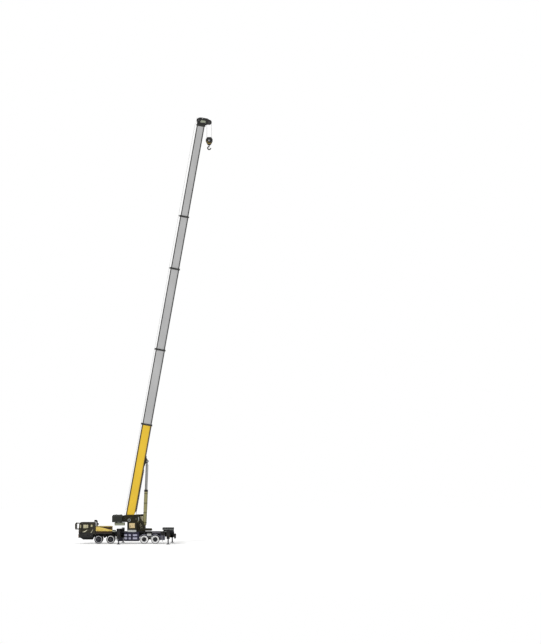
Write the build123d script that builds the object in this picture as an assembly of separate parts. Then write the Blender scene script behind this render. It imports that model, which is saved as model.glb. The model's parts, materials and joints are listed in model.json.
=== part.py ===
"""Four-axle truck crane with a five-section telescopic boom, drawn as a 1:2 scale model in millimetres.

The carrier stands on its wheels with its front towards -X, its outriggers out and its boom turned over
the rear and raised. x is written from the slewing axis, z from the ground, and +Y is the carrier's right.
The finished parts are shifted along X so that the frame's origin lies on the ground under the middle of
the whole crane. Boom parts are drawn lying down, along x from the boom's foot pin, and are then raised.
"""
from build123d import *
import math
import os

# ---- Boom sizes ----
BOOM_ANGLE = 79.8            # degrees above the horizontal
FOOT_X, FOOT_Z = -469, 1588  # foot pin of the boom
BOOM_RISE = 50               # centreline of the sections above the foot pin, square to the boom
BASE_DEPTH, BASE_WIDTH = 610, 420
BOOM_WALL = 6
SECTION_GAP = 8             # free space between one section and the next inside it
COLLAR_LENGTH = 100
COLLAR_TOP, COLLAR_SIDE, COLLAR_BELOW = 64, 26, 42
COLLAR_FLANGE, COLLAR_WAIST = 24, 10         # width of a flange, and how far the waist stands in
SLIDE_GAP = 0.4              # running gap between a collar and the section that slides in it
NUB_PITCH = 115              # what each section shows past the next larger one when drawn in
# number, x of its front end, length
BOOM_SECTIONS = [
    (1, 5976, 5906),
    (2, 10725, 5800),
    (3, 15868, 5900),
    (4, 19181, 5650),
    (5, 24950, 6180),
]
HEAD_FRONT_X = BOOM_SECTIONS[-1][1]           # front end of the last section, where the head is welded on
HEAD_SHEAVE_X, HEAD_SHEAVE_Z = HEAD_FRONT_X + 256, -430   # along and square to the boom
GUIDE_SHEAVE_X, GUIDE_SHEAVE_Z = HEAD_FRONT_X + 268, 235
GUIDE_SHEAVE_R = 140
GROOVE_DEPTH = 24
SHEAVE_R = 160               # over the flanges
SHEAVE_GROOVE_R = 136
SHEAVE_WIDTH = 34
SHEAVE_Y = 40                # the two sheaves of a pack stand this far off the middle
HEAD_PLATE_Y, HEAD_PLATE, HEAD_RECESS = 96, 16, 5
PIN_R = 30
JIB_PIN_X, JIB_PIN_Z, JIB_PIN_R = HEAD_FRONT_X + 422, 36, 18   # bore for a jib's pin through both head plates

# ---- Luffing cylinder ----
LUFF_FOOT_X, LUFF_FOOT_Z = 850, -582         # lower pin from the foot pin, level and upright
LUFF_HEAD_X, LUFF_HEAD_Z = 3674, -372        # upper pin in the boom's own frame
LUFF_TUBE_R, LUFF_ROD_R = 104, 84
LUFF_TUBE_LENGTH, LUFF_ROD_LENGTH = 2350, 2250
LUFF_EYE_R, LUFF_EYE_WIDTH = 76, 110
LUFF_EAR_GAP = 8
EAR_R, EAR_PLATE = 84, 24

# ---- Hoist rope and hook ----
FALLS_LENGTH = 1138
ROPE_R = 8
BLOCK_WIDTH, BLOCK_CHEEK = 430, 14
BLOCK_Y = 76                 # outer face of the block's cheeks
HOOK_DROP = 470              # from the block's sheave pin to the middle of the hook's throat
HOOK_THROAT_R = 56
HOOK_THICK = 74
HOIST_STROKE = 750

# ---- Turntable ----
RING_R, RING_BORE_R = 430, 340
RING_Z, RING_TOP = 744, 800
BASE_PLATE = 30
BASE_R = 460
SIDE_PLATE_Y, SIDE_PLATE = 226, 34           # inner face and thickness of the two side plates
SIDE_TOP_Z = 1800
SIDE_REAR_X = -700
ARM_HOLE = [(80, 940), (80, 1370), (286, 985), (262, 940)]   # opening behind the arm of the luffing cylinder
LIGHTENING_HOLES = [(-150, 1540), (-20, 1380)]
BOSS_OUT = 14
DRUM_END_X, DRUM_END_Z = -572, 1462
CABINET_REAR_X, CABINET_FRONT_X, CABINET_Y, CABINET_TOP_Z = -660, -110, 540, 1330
NOSE_X, NOSE_TOP_Z = 855, 945
NOSE_TROUGH_Y = 128          # half width of the trough that the luffing cylinder lies in
WEIGHT_FRONT_X, WEIGHT_REAR_X = -1010, -1644
WEIGHT_BOTTOM_Z, WEIGHT_TOP_Z = 1344, 1787
WEIGHT_HALF_Y = 600
WEIGHT_SEAMS = [1480, 1630]
SLAB_FRONT_X, SLAB_REAR_X = -850, -1487
SLAB_BOTTOM_Z, SLAB_TOP_Z = 1137, 1300
SLAB_HALF_Y = 480
DRUM_X, DRUM_Z, DRUM_R = -860, 1560, 105

# ---- Operator's cab ----
OP_REAR_X, OP_FRONT_X = -156, 440
OP_INNER_Y, OP_OUTER_Y = 285, 640
OP_BOTTOM_Z, OP_TOP_Z = 900, 1800
OP_WALL = 12
PANE, PANE_GAP = 6, 0.4

# ---- Carrier ----
HALF_WIDTH = 625
AXLE_Z = 272
WHEEL_R = AXLE_Z
TYRE_WIDTH = 155
RIM_R, RIM_WALL = 182, 12
HUB_R = 66
FRONT_DISC_EDGE, TWIN_DISC_EDGE = 12, 20      # half thickness of the wheel discs at their rims
TYRE_SEAT_GAP = 0.2
TWIN_GAP = 20
FRONT_WHEEL_Y = 522          # middle of a single front tyre
TWIN_WHEEL_Y = 447           # middle of a twin pair
STUB_R = 30
HUB_GAP = 0.4
KINGPIN_Y = 408
STEER_DEG, STEER_SHARE = 30, 0.6             # lock of the first axle, and the second axle's part of it
# axle, x, steered
AXLES = [
    (1, -2475, True),
    (2, -1725, True),
    (3, 369, False),
    (4, 1062, False),
]
SIDES = [("left", -1), ("right", 1)]
RAIL_INNER_Y, RAIL_OUTER_Y = 150, 230
RAIL_BOTTOM_Z, RAIL_TOP_Z = 430, 726
FRAME_REAR_X, TAIL_END_X = 2230, 2340
TAIL_BOTTOM_Z, TAIL_TOP_Z = 330, 600
TOW_PIN_X, TOW_PIN_R = 2288, 20
LOW_RAIL_Z = 250             # underside of the rails where they drop below the cab
CROSS_MEMBERS_X = [-2600, -1560, -700, 0, 700, 1400, 2180]
DECK_PLATE = 18
DECK_TOP_Z = RING_Z
SPRING_Y = 190
SPRING_REACH, SPRING_LEAF = 250, 14

# ---- Outriggers ----
# name, x of the beam, side
OUTRIGGERS = [
    ("front_left", -1206, -1),
    ("front_right", -1000, 1),
    ("rear_left", 1881, -1),
    ("rear_right", 2085, 1),
]
LEG_Y = 1450                 # jack out, from the middle of the crane
LEG_STOWED_Y = 550
BEAM_BOX_WIDTH, BEAM_BOX_BOTTOM_Z, BEAM_BOX_TOP_Z = 176, 396, 606
BEAM_BOX_HALF_Y = 482
BEAM_BOX_WALL = 12
BEAM_GAP = 0.4
BEAM_LENGTH = 1100
LEG_HALF_X, LEG_HALF_Y = 100, 60
LEG_BOTTOM_Z, LEG_TOP_Z = 336, 937
BOX_FLANGE = 10
JACK_R = 40
FLOAT_R, FLOAT_THICK = 120, 26
JACK_STROKE = 280

# ---- Carrier cab, bonnet and boxes ----
CAB_HALF_Y = 590
CAB_WALL = 16
CAB_FRONT_X, CAB_REAR_X = -3719, -2675
CAB_ROOF_Z = 1325
CAB_ARCH_X, CAB_ARCH_Z = -2824, 600          # rear wall steps forward here over the front wheel
CAB_FLOOR_Z, CAB_SILL_Z = 400, 600            # floor, and lower edge of the front panel over the bumper
CAB_MOUNT = 15               # rubber mounts between the frame and the cab's floor
DOOR_GAP = 5
HINGE_R, HINGE_PIN_R, HINGE_HALF = 7, 3.5, 32
HINGE_STAND = 8              # hinge pin off the outer face of the wall
HINGE_LEVELS = [620, 1120]
DOOR_FRONT_X, DOOR_REAR_X = -3535, -3010
DOOR_BOTTOM_Z, DOOR_TOP_Z = 470, 1262
BUMPER_FRONT_X, BUMPER_REAR_X = -3742, -3641
MIRROR_FRONT_X, MIRROR_Y = -3950, 545
MIRROR_DEEP, MIRROR_ARM_R = 104, 17
SCREEN_Y, SCREEN_LOW_Z, SCREEN_HIGH_Z = 510, 870, 1230
# rear and front side windows: two x, two z
QUARTER_LIGHTS = [(-2965, -2855, 1050, 1195), (-3640, -3572, 990, 1190)]
GRILLE_SLOTS, GRILLE_LOW_Z, GRILLE_PITCH = 5, 650, 34
LAMPS = [(440, 48), (330, 34)]               # headlamps and fog lamps: y, radius
LAMP_Z = 490
HOOD_FRONT_X, HOOD_REAR_X = -2650, -1625
SEAT_GAP = 0.3               # between pieces of one body that stand on each other
HOOD_TOP_Z = 1085
HOOD_HALF_Y = 560
HOOD_LOUVRES_X = [-2590, -2380]
LOUVRES = 6
STACK_X, STACK_Y = -2600, 335
STACK_R = 45
CLEANER_Z, CLEANER_HALF, CLEANER_R = 1404, 58, 85
STUB_Z, STUB_REACH = 1205, 118
BOX_FRONT_X, BOX_REAR_X = -868, 58
BOX_BOTTOM_Z, BOX_TOP_Z = 169, 712
BOX_INNER_Y, BOX_OUTER_Y = 300, 612
BOX_DOORS = [(-862, -650), (-640, -370), (-360, 50)]
TANK_FRONT_X, TANK_REAR_X = -1320, -888
GUARD_R, GUARD_PLATE, GUARD_REACH = 312, 10, 276
TRAY_FRONT_X, TRAY_REAR_X = 1500, 2219
TRAY_BOTTOM_Z, TRAY_TOP_Z, TRAY_HALF_Y = 869, 990, 478
SADDLE_HALF, SADDLE_Z = 130, 945              # notch in the tray's front wall for the lowered luffing cylinder

# ---- Frame of the whole ----
UP = math.radians(BOOM_ANGLE)
REACH_X = FOOT_X + HEAD_SHEAVE_X * math.cos(UP) - HEAD_SHEAVE_Z * math.sin(UP) + SHEAVE_R + 30
ORIGIN = Location((-(MIRROR_FRONT_X + REACH_X) / 2, 0, 0))
RAISED = Location((FOOT_X, 0, FOOT_Z)) * Rot(Y=-BOOM_ANGLE)


# ---- Shape helpers ----
def block(x0, x1, y0, y1, z0, z1):
    """A block between two x, two y and two z."""
    size = (abs(x1 - x0), abs(y1 - y0), abs(z1 - z0))
    return Pos((x0 + x1) / 2, (y0 + y1) / 2, (z0 + z1) / 2) * Box(*size)


def plate(outline, y0, y1):
    """A plate whose outline is given in x and z, from y0 to y1."""
    face = make_face(Polyline(*[(x, y0, z) for x, z in outline], close=True))
    return extrude(face, amount=y1 - y0, dir=(0, 1, 0))


def bar(start, end, radius):
    """A round bar between two points."""
    a, b = Vector(*start), Vector(*end)
    return Solid.make_cylinder(radius, (b - a).length, Plane(origin=a, z_dir=b - a))


def cross_bar(x, z, radius, y0, y1):
    """A round bar along Y."""
    return bar((x, min(y0, y1), z), (x, max(y0, y1), z), radius)


def both_sides(shape):
    """The shape and its mirror image in the crane's middle plane."""
    return shape + shape.mirror(Plane.XZ)


def sheave(x, y, z, radius, groove_radius, width):
    """A turned rope wheel with its pin along Y and a groove that opens outwards."""
    half = width / 2
    lip, root = half - 5, half - 7
    profile = [(0, -half), (radius, -half), (radius, -lip), (groove_radius, -root),
               (groove_radius, root), (radius, lip), (radius, half), (0, half)]
    face = make_face(Polyline(*[(r, w, 0) for r, w in profile], close=True))
    return Pos(x, y, z) * revolve(face, Axis.Y)


def hinge_halves(x, y, side, levels):
    """Fixed and moving half of a row of door hinges, with the pin line at x and y.

    side is +1 or -1 for a door whose outer face looks along +Y or -Y. The door lies towards +X."""
    skin = y - side * HINGE_STAND
    leaf_y = sorted((skin - side, skin + side * (HINGE_STAND - 2)))
    fixed, moving = None, None
    for z in levels:
        pin = bar((x, y, z - HINGE_HALF), (x, y, z + HINGE_HALF), HINGE_PIN_R)
        still = pin
        for z0, z1 in ((z - HINGE_HALF, z - HINGE_HALF / 2), (z + HINGE_HALF / 2, z + HINGE_HALF)):
            still += bar((x, y, z0), (x, y, z1), HINGE_R)
            still += block(x - 36, x, leaf_y[0], leaf_y[1], z0, z1)
        z0, z1 = z - HINGE_HALF / 2 + 1, z + HINGE_HALF / 2 - 1
        turn = bar((x, y, z0), (x, y, z1), HINGE_R) + block(x, x + 36, leaf_y[0], leaf_y[1], z0, z1)
        turn -= bar((x, y, z0 - 1), (x, y, z1 + 1), HINGE_PIN_R + HUB_GAP)
        fixed = still if fixed is None else fixed + still
        moving = turn if moving is None else moving + turn
    return fixed, moving


NODES = {}


def keep(name, shape, lifted=False):
    """Store a finished piece under its node name, the boom's pieces raised to their angle."""
    NODES[name] = ORIGIN * (RAISED * shape if lifted else shape)


# ---- Boom ----
def section_size(number):
    """Outer depth and width of a boom section."""
    step = 2 * (BOOM_WALL + SECTION_GAP)
    return BASE_DEPTH - (number - 1) * step, BASE_WIDTH - (number - 1) * step


def section_face(number, x, grow):
    """Outline of a boom section at x, flat on top and round below, moved outwards by grow."""
    depth, width = section_size(number)
    outline = Rectangle(width + 2 * grow, depth + 2 * grow)
    low = outline.vertices().group_by(Axis.Y)[0]
    high = outline.vertices().group_by(Axis.Y)[-1]
    outline = fillet(low, width * 0.42 + grow)
    high = outline.vertices().group_by(Axis.Y)[-1]
    outline = fillet(high, 26 + grow)
    stand = Plane(origin=(x, 0, BOOM_RISE), x_dir=(0, 1, 0), z_dir=(1, 0, 0))
    return stand * outline


def section_prism(number, x0, x1, grow):
    """The outline of a boom section drawn out from x0 to x1."""
    return extrude(section_face(number, x0, grow), amount=x1 - x0, dir=(1, 0, 0))


def boom_collar(number, front_x):
    """The stiff frame round a section's front end: two flanges on a waist, with the slide opening inside."""
    depth, width = section_size(number)
    low = BOOM_RISE - depth / 2 - COLLAR_BELOW
    high = BOOM_RISE + depth / 2 + COLLAR_TOP
    half = width / 2 + COLLAR_SIDE
    rear_x = front_x - COLLAR_LENGTH
    ring = None
    for x0, x1, inset in ((rear_x, front_x, COLLAR_WAIST), (rear_x, rear_x + COLLAR_FLANGE, 0),
                          (front_x - COLLAR_FLANGE, front_x, 0)):
        part = block(x0, x1, -half + inset, half - inset, low + inset, high - inset)
        part = fillet(part.edges().filter_by(Axis.X).group_by(Axis.Z)[0], width * 0.42 - inset)
        part = chamfer(part.edges().filter_by(Axis.X).group_by(Axis.Z)[-1], 30)
        ring = part if ring is None else ring + part
    return ring - section_prism(number + 1, rear_x - 1, front_x + 1, SLIDE_GAP)


def boom_tube(number, front_x, length):
    """One hollow boom section with its collar."""
    rear_x = front_x - length
    tube = section_prism(number, rear_x, front_x, 0)
    tube -= section_prism(number, rear_x - 1, front_x + 1, -BOOM_WALL)
    if number < len(BOOM_SECTIONS):
        tube += boom_collar(number, front_x)
    return tube


def boom_base(front_x, length):
    """The base section with its foot lugs and the bracket of the luffing cylinder."""
    depth, width = section_size(1)
    under = BOOM_RISE - depth / 2
    rear_x = front_x - length
    tube = boom_tube(1, front_x, length)
    slope = [(rear_x - 1, under - 1), (rear_x + 420, under - 1), (rear_x - 1, under + 190)]
    tube -= plate(slope, -width, width)
    lug = [(-90, -60), (-90, 60), (60, 250), (520, 250), (520, -120), (60, -90)]
    lug_inner = width / 2 - 60
    lugs = both_sides(plate(lug, lug_inner, width / 2))
    lugs += cross_bar(0, 0, 90, -width / 2, width / 2)
    tube += lugs - section_prism(1, rear_x, rear_x + 1000, -BOOM_WALL)
    ear_inner = LUFF_EYE_WIDTH / 2 + LUFF_EAR_GAP
    ear = [
        (LUFF_HEAD_X - 330, under + 60),
        (LUFF_HEAD_X + 330, under + 60),
        (LUFF_HEAD_X + 70, LUFF_HEAD_Z - 20),
        (LUFF_HEAD_X - 70, LUFF_HEAD_Z - 20),
    ]
    ears = plate(ear, ear_inner, ear_inner + EAR_PLATE)
    ears += cross_bar(LUFF_HEAD_X, LUFF_HEAD_Z, EAR_R, ear_inner, ear_inner + EAR_PLATE)
    ears -= section_prism(1, LUFF_HEAD_X - 400, LUFF_HEAD_X + 400, -1)
    tube += both_sides(ears)
    return tube - cross_bar(0, 0, PIN_R + HUB_GAP, -width, width)


def boom_head():
    """The sheave head on the last section: two side plates, the pins and the rope wheels."""
    depth, _ = section_size(len(BOOM_SECTIONS))
    top = BOOM_RISE + depth / 2
    under = BOOM_RISE - depth / 2
    cheek = [
        (HEAD_FRONT_X, under),
        (HEAD_FRONT_X, top),
        (GUIDE_SHEAVE_X - 150, GUIDE_SHEAVE_Z + 82),
        (GUIDE_SHEAVE_X - 20, GUIDE_SHEAVE_Z + 110),
        (JIB_PIN_X + 8, GUIDE_SHEAVE_Z + 30),
        (JIB_PIN_X + 46, JIB_PIN_Z + 90),
        (JIB_PIN_X + 46, HEAD_SHEAVE_Z + 120),
        (HEAD_SHEAVE_X + 110, HEAD_SHEAVE_Z - 60),
        (HEAD_SHEAVE_X - 70, HEAD_SHEAVE_Z - 70),
        (HEAD_SHEAVE_X - 160, HEAD_SHEAVE_Z + 90),
    ]
    cheeks = plate(cheek, HEAD_PLATE_Y, HEAD_PLATE_Y + HEAD_PLATE)
    window = [
        (HEAD_SHEAVE_X - 120, GUIDE_SHEAVE_Z - 110),
        (HEAD_SHEAVE_X + 40, GUIDE_SHEAVE_Z - 130),
        (HEAD_SHEAVE_X + 60, HEAD_SHEAVE_Z + 210),
        (HEAD_SHEAVE_X - 70, HEAD_SHEAVE_Z + 230),
    ]
    recess = make_face(Polyline(*[(x, HEAD_PLATE_Y + HEAD_PLATE - HEAD_RECESS, z) for x, z in window], close=True))
    recess = fillet(recess.vertices(), 24)
    cheeks -= extrude(recess, amount=HEAD_RECESS + 1, dir=(0, 1, 0))
    head = both_sides(cheeks)
    head += section_prism(len(BOOM_SECTIONS), HEAD_FRONT_X, HEAD_FRONT_X + 24, 0)
    outer = HEAD_PLATE_Y + HEAD_PLATE
    for x, z in ((HEAD_SHEAVE_X, HEAD_SHEAVE_Z), (GUIDE_SHEAVE_X, GUIDE_SHEAVE_Z)):
        head += cross_bar(x, z, PIN_R, -outer - 14, outer + 14)
        head += both_sides(cross_bar(x, z, PIN_R + 26, outer - 1, outer + 8))
    for side in (-1, 1):
        y = side * SHEAVE_Y
        head += sheave(HEAD_SHEAVE_X, y, HEAD_SHEAVE_Z, SHEAVE_R, SHEAVE_GROOVE_R, SHEAVE_WIDTH)
    head += sheave(GUIDE_SHEAVE_X, 0, GUIDE_SHEAVE_Z, GUIDE_SHEAVE_R, GUIDE_SHEAVE_R - GROOVE_DEPTH, SHEAVE_WIDTH)
    return head - cross_bar(JIB_PIN_X, JIB_PIN_Z, JIB_PIN_R, -200, 200)


def make_boom():
    """The five sections and the head."""
    for number, front_x, length in BOOM_SECTIONS:
        if number == 1:
            keep("boom_base", boom_base(front_x, length), lifted=True)
        else:
            keep(f"boom_section_{number}", boom_tube(number, front_x, length), lifted=True)
    keep("boom_head", boom_head(), lifted=True)


# ---- Luffing cylinder ----
def boom_point(x, z):
    """Place of a point of the boom's own frame with the boom raised."""
    return (
        FOOT_X + x * math.cos(UP) - z * math.sin(UP),
        FOOT_Z + x * math.sin(UP) + z * math.cos(UP),
    )


LUFF_LOW = (FOOT_X + LUFF_FOOT_X, FOOT_Z + LUFF_FOOT_Z)
LUFF_HIGH = boom_point(LUFF_HEAD_X, LUFF_HEAD_Z)


def make_luff_cylinder():
    """Tube and rod, drawn upright along Z from the lower pin and then tilted to the upper pin."""
    run_x, run_z = LUFF_HIGH[0] - LUFF_LOW[0], LUFF_HIGH[1] - LUFF_LOW[1]
    reach = math.hypot(run_x, run_z)
    tilt = Location((LUFF_LOW[0], 0, LUFF_LOW[1])) * Rot(Y=math.degrees(math.atan2(run_x, run_z)))
    half = LUFF_EYE_WIDTH / 2
    bore = LUFF_ROD_R + HUB_GAP
    top = LUFF_TUBE_LENGTH
    gland = LUFF_TUBE_R + 14
    outline = [
        (0, 40), (half - 2, 40), (half - 2, LUFF_EYE_R + 24), (LUFF_TUBE_R, LUFF_EYE_R + 64), (LUFF_TUBE_R, top - 130),
        (gland, top - 110), (gland, top - 12), (gland - 12, top), (bore, top), (bore, 220), (0, 220),
    ]
    face = make_face(Polyline(*[(r, 0, z) for r, z in outline], close=True))
    tube = revolve(face, Axis.Z)
    tube += cross_bar(0, 0, LUFF_EYE_R, -half, half)
    tube -= cross_bar(0, 0, PIN_R + HUB_GAP, -half - 1, half + 1)
    rod_start = reach - LUFF_ROD_LENGTH
    neck = reach - EAR_R - LUFF_ROD_R - 60
    outline = [(0, rod_start), (LUFF_ROD_R, rod_start), (LUFF_ROD_R, neck), (half - 4, neck + 34), (half - 4, reach - 30),
               (0, reach - 30)]
    face = make_face(Polyline(*[(r, 0, z) for r, z in outline], close=True))
    rod = revolve(face, Axis.Z)
    rod += cross_bar(0, reach, LUFF_EYE_R, -half, half)
    keep("luff_tube", tilt * tube)
    keep("luff_rod", tilt * rod)


# ---- Rope falls and hook block ----
FALL_X, FALL_Z = boom_point(HEAD_SHEAVE_X, HEAD_SHEAVE_Z)


def make_hook():
    """The rope falls under the head and the hook block that hangs in them."""
    pitch = SHEAVE_GROOVE_R + ROPE_R + SLIDE_GAP
    low = FALL_Z - FALLS_LENGTH
    falls = None
    for side_x in (-1, 1):
        for side_y in (-1, 1):
            x, y = FALL_X + side_x * pitch, side_y * SHEAVE_Y
            rope = bar((x, y, low), (x, y, FALL_Z), ROPE_R)
            falls = rope if falls is None else falls + rope
    keep("hoist_falls", falls)

    half = BLOCK_WIDTH / 2
    cheek = [
        (FALL_X - half, low + 80),
        (FALL_X - half + 90, low + 215),
        (FALL_X + half - 90, low + 215),
        (FALL_X + half, low + 80),
        (FALL_X + half, low - 60),
        (FALL_X + 95, low - 290),
        (FALL_X - 95, low - 290),
        (FALL_X - half, low - 60),
    ]
    hook = both_sides(plate(cheek, BLOCK_Y - BLOCK_CHEEK, BLOCK_Y))
    hook += cross_bar(FALL_X, low, PIN_R, -BLOCK_Y - 12, BLOCK_Y + 12)
    for side in (-1, 1):
        hook += sheave(FALL_X, side * SHEAVE_Y, low, SHEAVE_R, SHEAVE_GROOVE_R, SHEAVE_WIDTH)
    hook += block(FALL_X - 95, FALL_X + 95, -BLOCK_Y, BLOCK_Y, low - 290, low - 215)
    throat_z = low - HOOK_DROP
    mid_r = HOOK_THROAT_R + HOOK_THICK / 2
    hook += bar((FALL_X, 0, low - 280), (FALL_X, 0, throat_z + mid_r), HOOK_THICK / 2)
    ring = Torus(mid_r, HOOK_THICK / 2, major_angle=270)
    ring = Pos(FALL_X, 0, throat_z) * Rot(X=90) * Rot(Z=90) * ring
    hook += ring
    keep("hook_block", hook)


# ---- Turntable ----
def make_turntable():
    """Slew ring, turntable frame, counterweight and winches."""
    ring = bar((0, 0, RING_Z), (0, 0, RING_TOP), RING_R) - bar((0, 0, RING_Z - 1), (0, 0, RING_TOP + 1), RING_BORE_R)
    keep("slew_ring", ring)

    base_top = RING_TOP + BASE_PLATE
    inner, outer = SIDE_PLATE_Y, SIDE_PLATE_Y + SIDE_PLATE
    base = bar((0, 0, RING_TOP), (0, 0, base_top), BASE_R)
    base += block(SIDE_REAR_X, 200, -outer, outer, RING_TOP, base_top)
    side = [
        (SIDE_REAR_X, base_top - 1),
        (SIDE_REAR_X, WEIGHT_BOTTOM_Z),
        (WEIGHT_FRONT_X, WEIGHT_BOTTOM_Z),
        (WEIGHT_FRONT_X, WEIGHT_TOP_Z - 60),
        (SIDE_REAR_X, SIDE_TOP_Z),
        (0, SIDE_TOP_Z),
        (40, SIDE_TOP_Z - 88),
        (LUFF_LOW[0] + 66, LUFF_LOW[1] + 60),
        (LUFF_LOW[0] + 66, LUFF_LOW[1] - 60),
        (300, base_top - 1),
    ]
    sides = plate(side, inner, outer)
    hole = make_face(Polyline(*[(x, inner - 1, z) for x, z in ARM_HOLE], close=True))
    hole = fillet(hole.vertices(), 18)
    sides -= extrude(hole, amount=SIDE_PLATE + 2, dir=(0, 1, 0))
    for x, z in LIGHTENING_HOLES:
        sides -= cross_bar(x, z, 52, inner - 1, outer + 1)
    sides += cross_bar(FOOT_X, FOOT_Z, 86, outer - 1, outer + BOSS_OUT)
    sides += cross_bar(LUFF_LOW[0], LUFF_LOW[1], 62, outer - 1, outer + BOSS_OUT)
    sides += cross_bar(DRUM_X, DRUM_Z, 88, outer - 1, outer + BOSS_OUT)
    sides += cross_bar(DRUM_END_X, DRUM_END_Z, 95, outer - 1, outer + 36)
    rim = [(SIDE_REAR_X + 10, base_top + 200), (SIDE_REAR_X + 34, base_top + 200), (SIDE_REAR_X + 34, WEIGHT_BOTTOM_Z + 20),
           (SIDE_REAR_X + 10, WEIGHT_BOTTOM_Z + 20)]
    sides += plate(rim, outer - 1, outer + BOSS_OUT)
    base += both_sides(sides)
    base += cross_bar(FOOT_X, FOOT_Z, PIN_R, -outer - 20, outer + 20)
    base += cross_bar(LUFF_LOW[0], LUFF_LOW[1], PIN_R, -outer - 16, outer + 16)
    spacer = LUFF_EYE_WIDTH / 2 + 2
    base += both_sides(cross_bar(LUFF_LOW[0], LUFF_LOW[1], 52, spacer, inner + 1))
    base += block(SIDE_REAR_X + 20, -230, -inner - 1, inner + 1, base_top - 1, base_top + 26)
    cabinet = block(CABINET_REAR_X, CABINET_FRONT_X, -CABINET_Y, -outer + 1, base_top + 20, CABINET_TOP_Z)
    base += fillet(cabinet.edges().filter_by(Axis.X).group_by(Axis.Y)[0].sort_by(Axis.Z)[-1:], 40)
    nose = [(180, RING_TOP + 4), (180, NOSE_TOP_Z), (NOSE_X - 40, NOSE_TOP_Z), (NOSE_X, NOSE_TOP_Z - 50),
            (NOSE_X, RING_TOP + 24), (NOSE_X - 60, RING_TOP + 4)]
    base += both_sides(plate(nose, NOSE_TROUGH_Y, outer))
    base += block(180, NOSE_X - 60, -NOSE_TROUGH_Y - 1, NOSE_TROUGH_Y + 1, RING_TOP + 4, RING_TOP + 40)
    keep("turntable_frame", base)

    half = WEIGHT_HALF_Y
    weight = block(WEIGHT_REAR_X, WEIGHT_FRONT_X, -half, half, WEIGHT_BOTTOM_Z, WEIGHT_TOP_Z)
    weight = fillet(weight.edges().filter_by(Axis.Z).group_by(Axis.X)[0], 160)
    weight = fillet(weight.edges().filter_by(Axis.Y).group_by(Axis.X)[0].sort_by(Axis.Z)[-1:], 110)
    for z in WEIGHT_SEAMS:
        weight -= both_sides(block(WEIGHT_REAR_X + 170, WEIGHT_FRONT_X - 12, half - 6, half + 1, z, z + 10))
    lower = block(SLAB_REAR_X, SLAB_FRONT_X, -SLAB_HALF_Y, SLAB_HALF_Y, SLAB_BOTTOM_Z, SLAB_TOP_Z)
    lower = fillet(lower.edges().filter_by(Axis.Z), 50)
    weight += chamfer(lower.edges().group_by(Axis.Z)[0], 12)
    for x in (SLAB_REAR_X + 120, WEIGHT_FRONT_X - 80):
        weight += both_sides(block(x - 40, x + 40, 280, 360, SLAB_TOP_Z - 1, WEIGHT_BOTTOM_Z + 1))
    for x in (WEIGHT_REAR_X + 260, WEIGHT_FRONT_X - 90):
        eye = cross_bar(x, WEIGHT_TOP_Z + 4, 30, 300, 324) - cross_bar(x, WEIGHT_TOP_Z + 10, 13, 299, 325)
        weight += both_sides(eye)
    keep("counterweight", weight)

    drum = cross_bar(DRUM_X, DRUM_Z, DRUM_R, -inner + 12, inner - 12)
    drum += both_sides(cross_bar(DRUM_X, DRUM_Z, DRUM_R + 36, inner - 30, inner - 12))
    drum += cross_bar(DRUM_X, DRUM_Z, 40, -inner, inner)
    keep("winch_drum", drum)


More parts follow.
